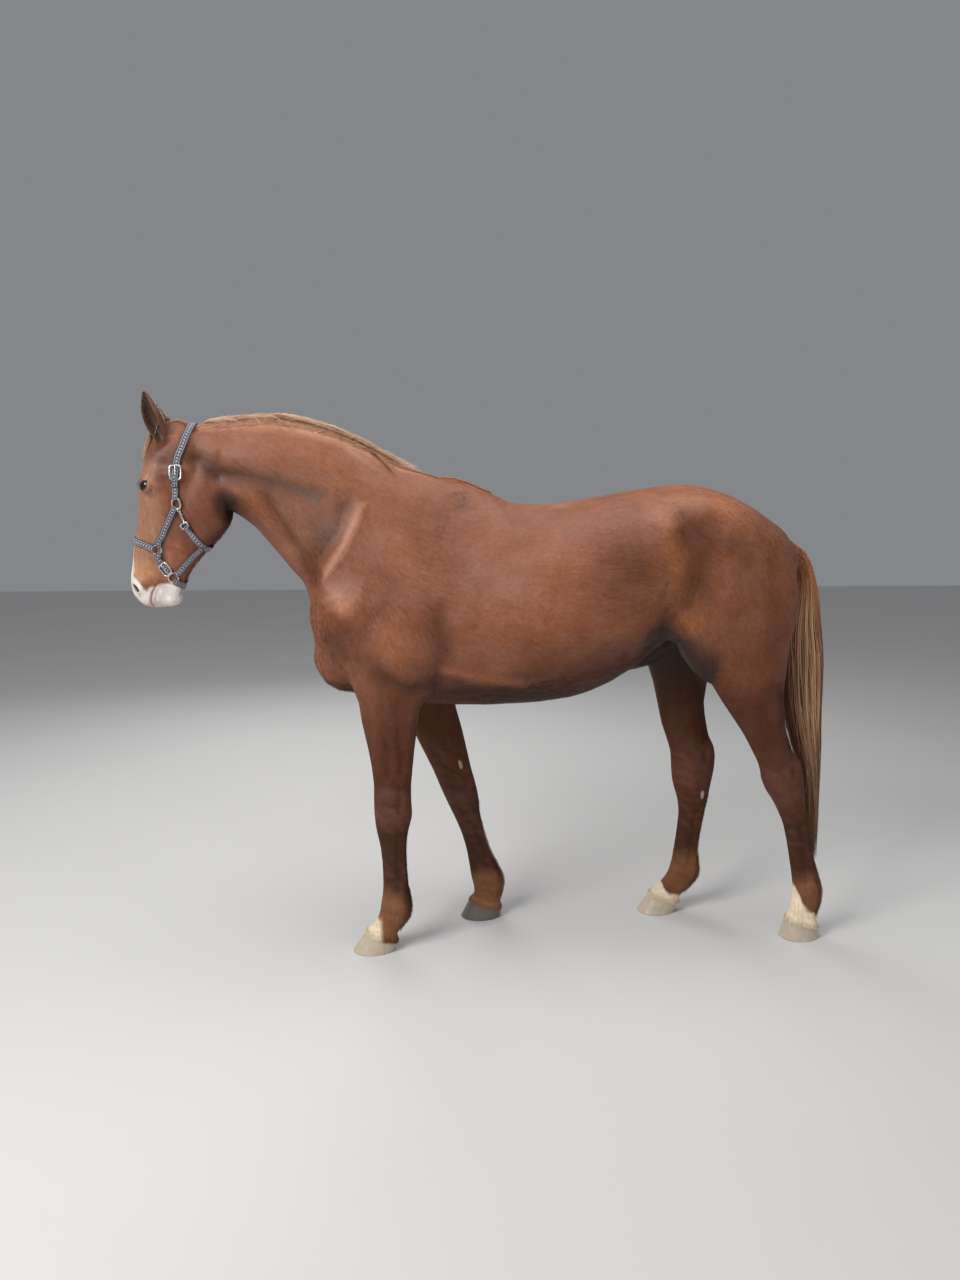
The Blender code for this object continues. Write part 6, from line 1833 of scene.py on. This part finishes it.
def shapeFringe(roots, lengths, widths, angles, ring, onEar):
    heel = (roots[:, 2] < 24) & ~ring
    lengths[ring] = rng.uniform(1.2, 2.1, ring.sum())
    angles[ring] = rng.uniform(0.1, 0.3, ring.sum())
    lengths[heel] = rng.uniform(1.6, 3.0, heel.sum())
    lengths[onEar] = rng.uniform(0.3, 0.6, onEar.sum())
    angles[onEar] *= 0.45
    widths[onEar] *= 0.6
    face = (roots[:, 0] < -84) & ~onEar
    lengths[face] = rng.uniform(0.7, 1.5, face.sum())
    angles[face] *= 0.7
    angles[(roots[:, 2] > 60) & ~face] *= 0.62


def buildCoat(skin):
    mesh = skin.data
    place, normal = meshArrays(mesh)
    place = place / cm
    corners = loopCorners(mesh).reshape(-1, 3)
    uv = np.zeros(len(mesh.loops) * 2, dtype=np.float32)
    mesh.uv_layers["OFBake"].data.foreach_get("uv", uv)
    uv = uv.reshape(-1, 3, 2)
    weights, coronet, ears = coatWeights(place, normal, corners)
    made = 0
    for label, (count, length, width, angle) in coatForm.items():
        chosen, shares = sampleSkin(weights[label], count)
        roots = (place[corners[chosen]] * shares).sum(axis=1)
        normals = unit((normal[corners[chosen]] * shares).sum(axis=1))
        spots = (uv[chosen] * shares).sum(axis=1)
        flows = layOfHair(roots, normals)
        flows = unit(flatten(unit(flows + 0.10 * rng.normal(size=flows.shape)), normals))
        colours = coatColour(roots, normals)
        lengths = np.clip(rng.normal(*length, count), 0.4, None)
        widths = np.clip(rng.normal(*width, count), 0.07, None)
        angles = np.clip(rng.normal(*angle, count), 0.02, None)
        if label == "coatFringe":
            shapeFringe(roots, lengths, widths, angles, coronet[chosen], ears[chosen])
        tufts = (roots, normals, flows, lengths, widths, angles, colours, spots)
        for number, start in enumerate(range(0, count, tuftsPerPiece), 1):
            part = slice(start, start + tuftsPerPiece)
            made += buildTufts(f"{label}_{number}", *(values[part] for values in tufts))
    print("coat:", made, "triangles")


collar = {"width": 2.5, "narrow": 2.15, "thick": 0.26, "clear": 0.36, "wire": 0.33, "tongue": 0.17}


def onHead(surface, point, lift=0.0):
    near, normal, _, _ = surface.find_nearest(Vector(point) * cm)
    return near / cm + normal * lift, normal


def strapPath(surface, waypoints, steps, lift):
    # a waypoint's last value is 1 where the strap hangs free of the head
    places, outs = [], []
    for x, y, z, loose in smoothRows(waypoints, steps):
        aim = Vector((x, y, z))
        place, normal = onHead(surface, aim, lift)
        if loose > 0.5 and (aim - place).dot(normal) > 0:
            place = aim
        places.append(place)
        outs.append(normal)
    for _ in range(6):
        three = zip(outs[:1] + outs[:-1], outs, outs[1:] + outs[-1:])
        outs = [(before + out * 2 + after).normalized() for before, out, after in three]
        three = zip(places, places[1:], places[2:])
        places = [places[0], *(a * 0.25 + b * 0.5 + c * 0.25 for a, b, c in three), places[-1]]
    return places, outs


def clearHead(surface, places, outs, width, keep):
    # lifts a strap wherever its underside would sink into the coat
    count = len(places)
    lifts = []
    for i in range(count):
        run = (places[min(i + 1, count - 1)] - places[max(i - 1, 0)]).normalized()
        wide = run.cross(outs[i]).normalized()
        worst = 0.0
        for a in (-0.5, -0.25, 0, 0.25, 0.5):
            spot = places[i] + wide * width * a - outs[i] * collar["thick"] / 2
            near, normal, _, _ = surface.find_nearest(spot * cm)
            worst = max(worst, keep - (spot - near / cm).dot(normal))
        lifts.append(worst)
    lifts = [max(lifts[max(i - 1, 0)] * 0.7, lifts[i], lifts[min(i + 1, count - 1)] * 0.7) for i in range(count)]
    return [place + out * lift for place, out, lift in zip(places, outs, lifts)]


def foldRound(places, outs, bar, normal, back=1.5):
    # carries a strap's end over a bar, round it and back underneath
    turn = collar["wire"] + collar["thick"] / 2 + 0.02
    last = max(i for i, p in enumerate(places) if (bar - p).length > 2.4)
    toward = bar - places[last]
    toward = (toward - normal * toward.dot(normal)).normalized()
    kept = [(p, o) for i, (p, o) in enumerate(zip(places, outs)) if i <= last or (bar - p).dot(toward) > 0.9]
    places = [place + out * (0.34 * max(0.0, 1 - (bar - place).length / 3.2)) for place, out in kept]
    outs = [out for place, out in kept]
    for angle in range(0, 181, 30):
        out = normal * math.cos(math.radians(angle)) + toward * math.sin(math.radians(angle))
        places.append(bar + out * turn)
        outs.append(out)
    places.append(bar - normal * turn - toward * back)
    outs.append(-normal)
    return places, outs


def strapOutline(width):
    # across the strap in cm, and its thickness as a share of half
    half = width / 2
    right = [(half, 0.4), (half - 0.07, 1), (half * 0.4, 1.08)]
    left = [(-a, b) for a, b in right[::-1]]
    under = [(a, -b) for a, b in left[::-1] + right[::-1]]
    return under + right + left


def buildStrap(
    node, surface, waypoints, steps=24, width=collar["narrow"], startBar=None, endBar=None, lift=0.0, rise=None,
):
    places, outs = strapPath(surface, waypoints, steps, collar["clear"] + collar["thick"] / 2 + lift)
    if rise:
        places = [p + o * rise(p) for p, o in zip(places, outs)]
    places = clearHead(surface, places, outs, width, 0.12)
    if endBar:
        places, outs = foldRound(places, outs, *endBar)
    if startBar:
        places, outs = foldRound(places[::-1], outs[::-1], *startBar)
        places, outs = places[::-1], outs[::-1]
    outline = strapOutline(width)
    bm = bmesh.new()
    weave = bm.loops.layers.uv.new("weave")
    loops, where = [], {}
    length, last, wideBefore = 0.0, places[0], None
    for i, (place, out) in enumerate(zip(places, outs)):
        run = (places[min(i + 1, len(places) - 1)] - places[max(i - 1, 0)]).normalized()
        wide = run.cross((out - run * out.dot(run)).normalized()).normalized()
        if wideBefore is not None and wide.dot(wideBefore) < 0:
            wide = -wide
        wideBefore = wide
        up = wide.cross(run)
        if up.dot(out) < 0:
            up = -up
        length += (place - last).length
        last = place
        loops.append(ringOf(bm, [place + wide * a + up * b * (collar["thick"] / 2) for a, b in outline]))
        where.update({vert: (a / width + 0.5, length * cm) for vert, (a, b) in zip(loops[-1], outline)})
    joinLoops(bm, loops)
    for face in outward(bm).faces:
        for corner in face.loops:
            corner[weave].uv = where[corner.vert]
    settle(makeObject(node + "_web", bm, webMaterial), "grey_webbing", node)


def ringPoint(ring, angle):
    spot = ring["middle"] + ring["run"] * bend(math.cos(angle), ring["corner"]) * ring["radii"][0]
    return spot + ring["wide"] * bend(math.sin(angle), ring["corner"]) * ring["radii"][1]


def ringFrame(surface, centre, along, radii, corner=2.0, extra=0.0):
    # corner 2 is an oval, more is squarer
    middle, normal = onHead(surface, centre)
    run = Vector(along)
    run = (run - normal * run.dot(normal)).normalized()
    lift = collar["clear"] + collar["wire"] + extra
    ring = {"middle": middle + normal * lift, "normal": normal, "run": run, "wide": normal.cross(run)}
    ring.update(radii=radii, corner=corner)
    worst = 0.0
    for angle in around(24):
        spot = ringPoint(ring, angle)
        near, facing, _, _ = surface.find_nearest(spot * cm)
        worst = max(worst, collar["wire"] + 0.12 - (spot - near / cm).dot(facing))
    ring["middle"] = middle + normal * (lift + worst)
    return ring


def barToward(ring, target):
    # the place on a ring's wire that faces a target
    away = Vector(target) - ring["middle"]
    a, b = away.dot(ring["run"]) / ring["radii"][0], away.dot(ring["wide"]) / ring["radii"][1]
    return ringPoint(ring, math.atan2(b, a)), ring["normal"]


def addWire(bm, places, radius, closed=True, sides=10, normal=None):
    loops, count = [], len(places)
    for i, place in enumerate(places):
        after = places[(i + 1) % count] if closed else places[min(i + 1, count - 1)]
        before = places[i - 1] if closed else places[max(i - 1, 0)]
        run = (after - before).normalized()
        up = (normal - run * normal.dot(run)).normalized()
        side = run.cross(up)
        thick = radius(i / (count - 1)) if callable(radius) else radius
        loops.append(ringOf(bm, [place + (up * math.cos(a) + side * math.sin(a)) * thick for a in around(sides)]))
    joinLoops(bm, loops, closed)


def buildRing(node, ring, tongue=None):
    bm = bmesh.new()
    addWire(bm, [ringPoint(ring, angle) for angle in around(44)], collar["wire"], normal=ring["normal"])
    if tongue:
        reach = ring["run"] * ring["radii"][0] * tongue
        # how far along the buckle, and how high over it
        bends = ((-1, 0.1), (-0.7, 0.42), (0, 0.46), (0.9, 0.36), (1.06, 0.3))
        places = [ring["middle"] + reach * along + ring["normal"] * lift for along, lift in bends]
        addWire(bm, places, lambda t: collar["tongue"] - 0.06 * t, False, 8, normal=ring["wide"])
    settle(makeObject(node + "_steel", outward(bm), steelMaterial), "bright_steel", node)


# half thickness of the snap's barrel along its length
barrelProfile = [0.24, 0.38, 0.43, 0.43, 0.40, 0.43, 0.43, 0.43, 0.40, 0.43, 0.43, 0.36, 0.26, 0.26, 0.38, 0.38]


def buildSnap(ring, loop):
    top, normal = barToward(ring, loop["middle"])
    low, _ = barToward(loop, ring["middle"])
    bm = bmesh.new()
    run = (low - top).normalized()
    side = normal.cross(run)
    length = (low - top).length
    # the open hook round the ring, then the barrel with its small thumb stud, then the swivel eye
    turns = [run * math.cos(a) + normal * math.sin(a) for a in np.linspace(-2.4, 2.6, 16)]
    hook = [top + run * 0.25 + turn * -0.72 for turn in turns]
    addWire(bm, hook, lambda t: 0.22 + 0.08 * t, False, 8, normal=side)
    barrel = [top + run * t for t in np.linspace(0.72, length - 0.42, 16)]
    addWire(bm, barrel, lambda t: barrelProfile[min(15, int(round(t * 15)))], False, 12, normal=normal)
    stud = [top + run * (length * 0.42) + side * d for d in (0.2, 0.42, 0.55)]
    addWire(bm, stud, lambda t: 0.14 + 0.06 * t, False, 8, normal=normal)
    turns = [run * math.cos(a) + normal * math.sin(a) for a in around(18)]
    addWire(bm, [low - run * 0.08 + turn * 0.42 for turn in turns], 0.18, True, 8, normal=side)
    settle(makeObject("snap_throat_steel", outward(bm), steelMaterial), "bright_steel", "snap_throat")


# Waypoints x, y, z of each strap, and 1 where it hangs free.  Those of one side are given for the right.
straps = {
    "crown": [
        (-98.2, 0, 186.0, 1), (-98.5, 3.2, 184.6, 1), (-99.4, 5.8, 181.8, 1), (-100.8, 7.6, 177.6, 0),
        (-102.2, 9, 174.0, 0), (-102.9, 9, 169.6, 0), (-103.2, 9, 166.8, 0), (-103.3, 9, 164.2, 0),
    ],
    "nose": [(-120.6, 0, 146.6, 0), (-117.0, 5.4, 145.2, 0), (-112.2, 7, 143.4, 0)],
    "drop": [(-102.95, 9, 166.4, 0), (-103.3, 9.2, 160.6, 0)],
    "cheek": [(-104.2, 9, 156.4, 0), (-107.2, 8.5, 150.8, 0), (-110.2, 8, 144.6, 0)],
    "adjust": [
        (-111.4, -7, 140.9, 0), (-110.2, -6.5, 138.6, 0), (-108.9, -5.8, 136.6, 0), (-107.8, -5.2, 135.2, 0),
    ],
    "chin": [
        (-105.2, -3.9, 132.4, 0), (-104.0, -2.2, 130.6, 0), (-103.4, 0, 130.0, 1), (-103.8, 2.2, 130.8, 0),
        (-105.0, 4.2, 133.0, 0), (-108.6, 6.2, 137.4, 0), (-110.4, 6.9, 140.8, 0),
    ],
    "jaw": [(-104.6, -4.6, 134.9, 0), (-100.6, -5, 139.4, 0), (-97.0, -5.4, 143.0, 0), (-96.2, -5.3, 144.0, 0)],
    "throat": [
        (-100.4, -8, 149.9, 0), (-97.8, -7.4, 146.8, 0), (-95.6, -5.6, 144.2, 0), (-94.4, -2.6, 143.0, 1),
        (-94.4, 2.6, 143.0, 1), (-95.4, 5.4, 144.0, 0), (-98.4, 7.6, 147.8, 0), (-101.9, 9, 154.2, 0),
        (-102.9, 9, 156.0, 0),
    ],
}


def onSide(path, side):
    return [(x, side * y, z, loose) for x, y, z, loose in path]


def overBar(place):
    # lifts the crown strap over the bars of its buckles
    return 0.72 * between(170.2, 167.6, place.z) - 0.26 * between(166.8, 165.4, place.z)


def buildHeadcollar(surface):
    # place, direction, radii, squareness and extra height of each ring
    fittings = {
        "ring_cheek": ((-103.4, 10, 158.4), (0, 0, 1), (1.95, 1.5)),
        "ring_nose": ((-110.9, 8, 142.8), (0.3, 0, 1), (1.65, 1.4)),
        "buckle_crown": ((-102.9, 9, 168.9), (0, 0, 1), (2.35, 1.8), 5.0, 0.25),
    }
    rings = {}
    for side, word in bothSides:
        for kind, (centre, *form) in fittings.items():
            rings[kind, side] = ringFrame(surface, mirrored(centre, side), *form)
            buildRing(f"{kind}_{word}", rings[kind, side], 1.0 if kind == "buckle_crown" else None)
    chinBuckle = ringFrame(surface, (-108.7, -5.6, 136.4), (0.62, 0, -0.78), (2.1, 1.65), 5.0, 0.15)
    chinRing = ringFrame(surface, (-106.1, -4.6, 133.6), (0.6, 0, -0.8), (1.55, 1.6), 2.6)
    loop = ringFrame(surface, (-101.2, -9, 151.0), (0.4, 0, -0.9), (0.9, 1.45), 6.0)
    buildRing("buckle_chin", chinBuckle, tongue=-1.0)
    buildRing("ring_chin", chinRing)
    buildRing("loop_throat", loop)
    buildSnap(rings["ring_cheek", -1], loop)
    crown, nose = straps["crown"], straps["nose"]
    leftCrown = onSide(crown[::-1], -1)
    buildStrap("strap_crown", surface, leftCrown + crown[1:], steps=90, width=collar["width"], rise=overBar)
    buildStrap(
        "strap_nose", surface, onSide(nose[::-1], -1) + nose[1:], steps=44, width=collar["width"],
        startBar=barToward(rings["ring_nose", -1], (-118, -6, 145.6)),
        endBar=barToward(rings["ring_nose", 1], (-118, 6, 145.6)),
    )
    for side, word in bothSides:
        cheek = rings["ring_cheek", side]
        bar = mirrored((-107.2, 8.5, 150.8), side)
        buildStrap(
            f"strap_drop_{word}", surface, onSide(straps["drop"], side), steps=10,
            startBar=barToward(rings["buckle_crown", side], (-103.2, side * 9, 150)),
            endBar=barToward(cheek, (-103.2, side * 9, 175)),
        )
        buildStrap(
            f"strap_cheek_{word}", surface, onSide(straps["cheek"], side),
            startBar=barToward(cheek, bar), endBar=barToward(rings["ring_nose", side], bar),
        )
    buildStrap(
        "strap_adjust", surface, straps["adjust"], steps=16, lift=0.15,
        startBar=barToward(rings["ring_nose", -1], (-109.4, -6, 137)),
    )
    buildStrap(
        "strap_chin", surface, straps["chin"], steps=40,
        startBar=barToward(chinRing, (-104.4, -3, 131)),
        endBar=barToward(rings["ring_nose", 1], (-109.4, 6, 137)),
    )
    buildStrap("strap_jaw", surface, straps["jaw"], startBar=barToward(chinRing, (-100.6, -5, 139.4)), lift=0.1)
    buildStrap(
        "strap_throat", surface, straps["throat"], steps=60,
        startBar=barToward(loop, (-97.8, -7.4, 146.8)),
        endBar=barToward(rings["ring_cheek", 1], (-101.0, 9, 150)),
    )
    print("headcollar: done")


addStage()
skin = buildSkin()
thinSkin(skin)
flareCoronets(skin)
detailHead(skin)
place, normal = meshArrays(skin.data)
storeColour(skin.data, "coat", coatColour(place / cm, normal))
storeColour(skin.data, "lay", streakWeights(layOfHair(place / cm, normal)))
skin.data.materials.append(coatMaterial)
print("skin: coloured")
unwrapSkin(skin)
buildCoat(skin)
surface = BVHTree.FromObject(skin, bpy.context.evaluated_depsgraph_get())
buildMane(surface)
buildFringe(surface)
buildForelock(surface)
buildTail()
buildHeadcollar(surface)
for side, word in bothSides:
    buildEyeball(side, word)
    buildLidMargin(side, word)
    buildLashes(side, word)
for name, values in hooves.items():
    buildHoof(name, *values)
limbs = ["foreleg_left", "foreleg_right", "hindleg_left", "hindleg_right"]
limbs = [f"{limb}_{part}" for limb in limbs for part in ("upper", "lower")]
settle(skin, "chestnut_coat", "head", "neck", "trunk", "ear_left", "ear_right", *limbs)
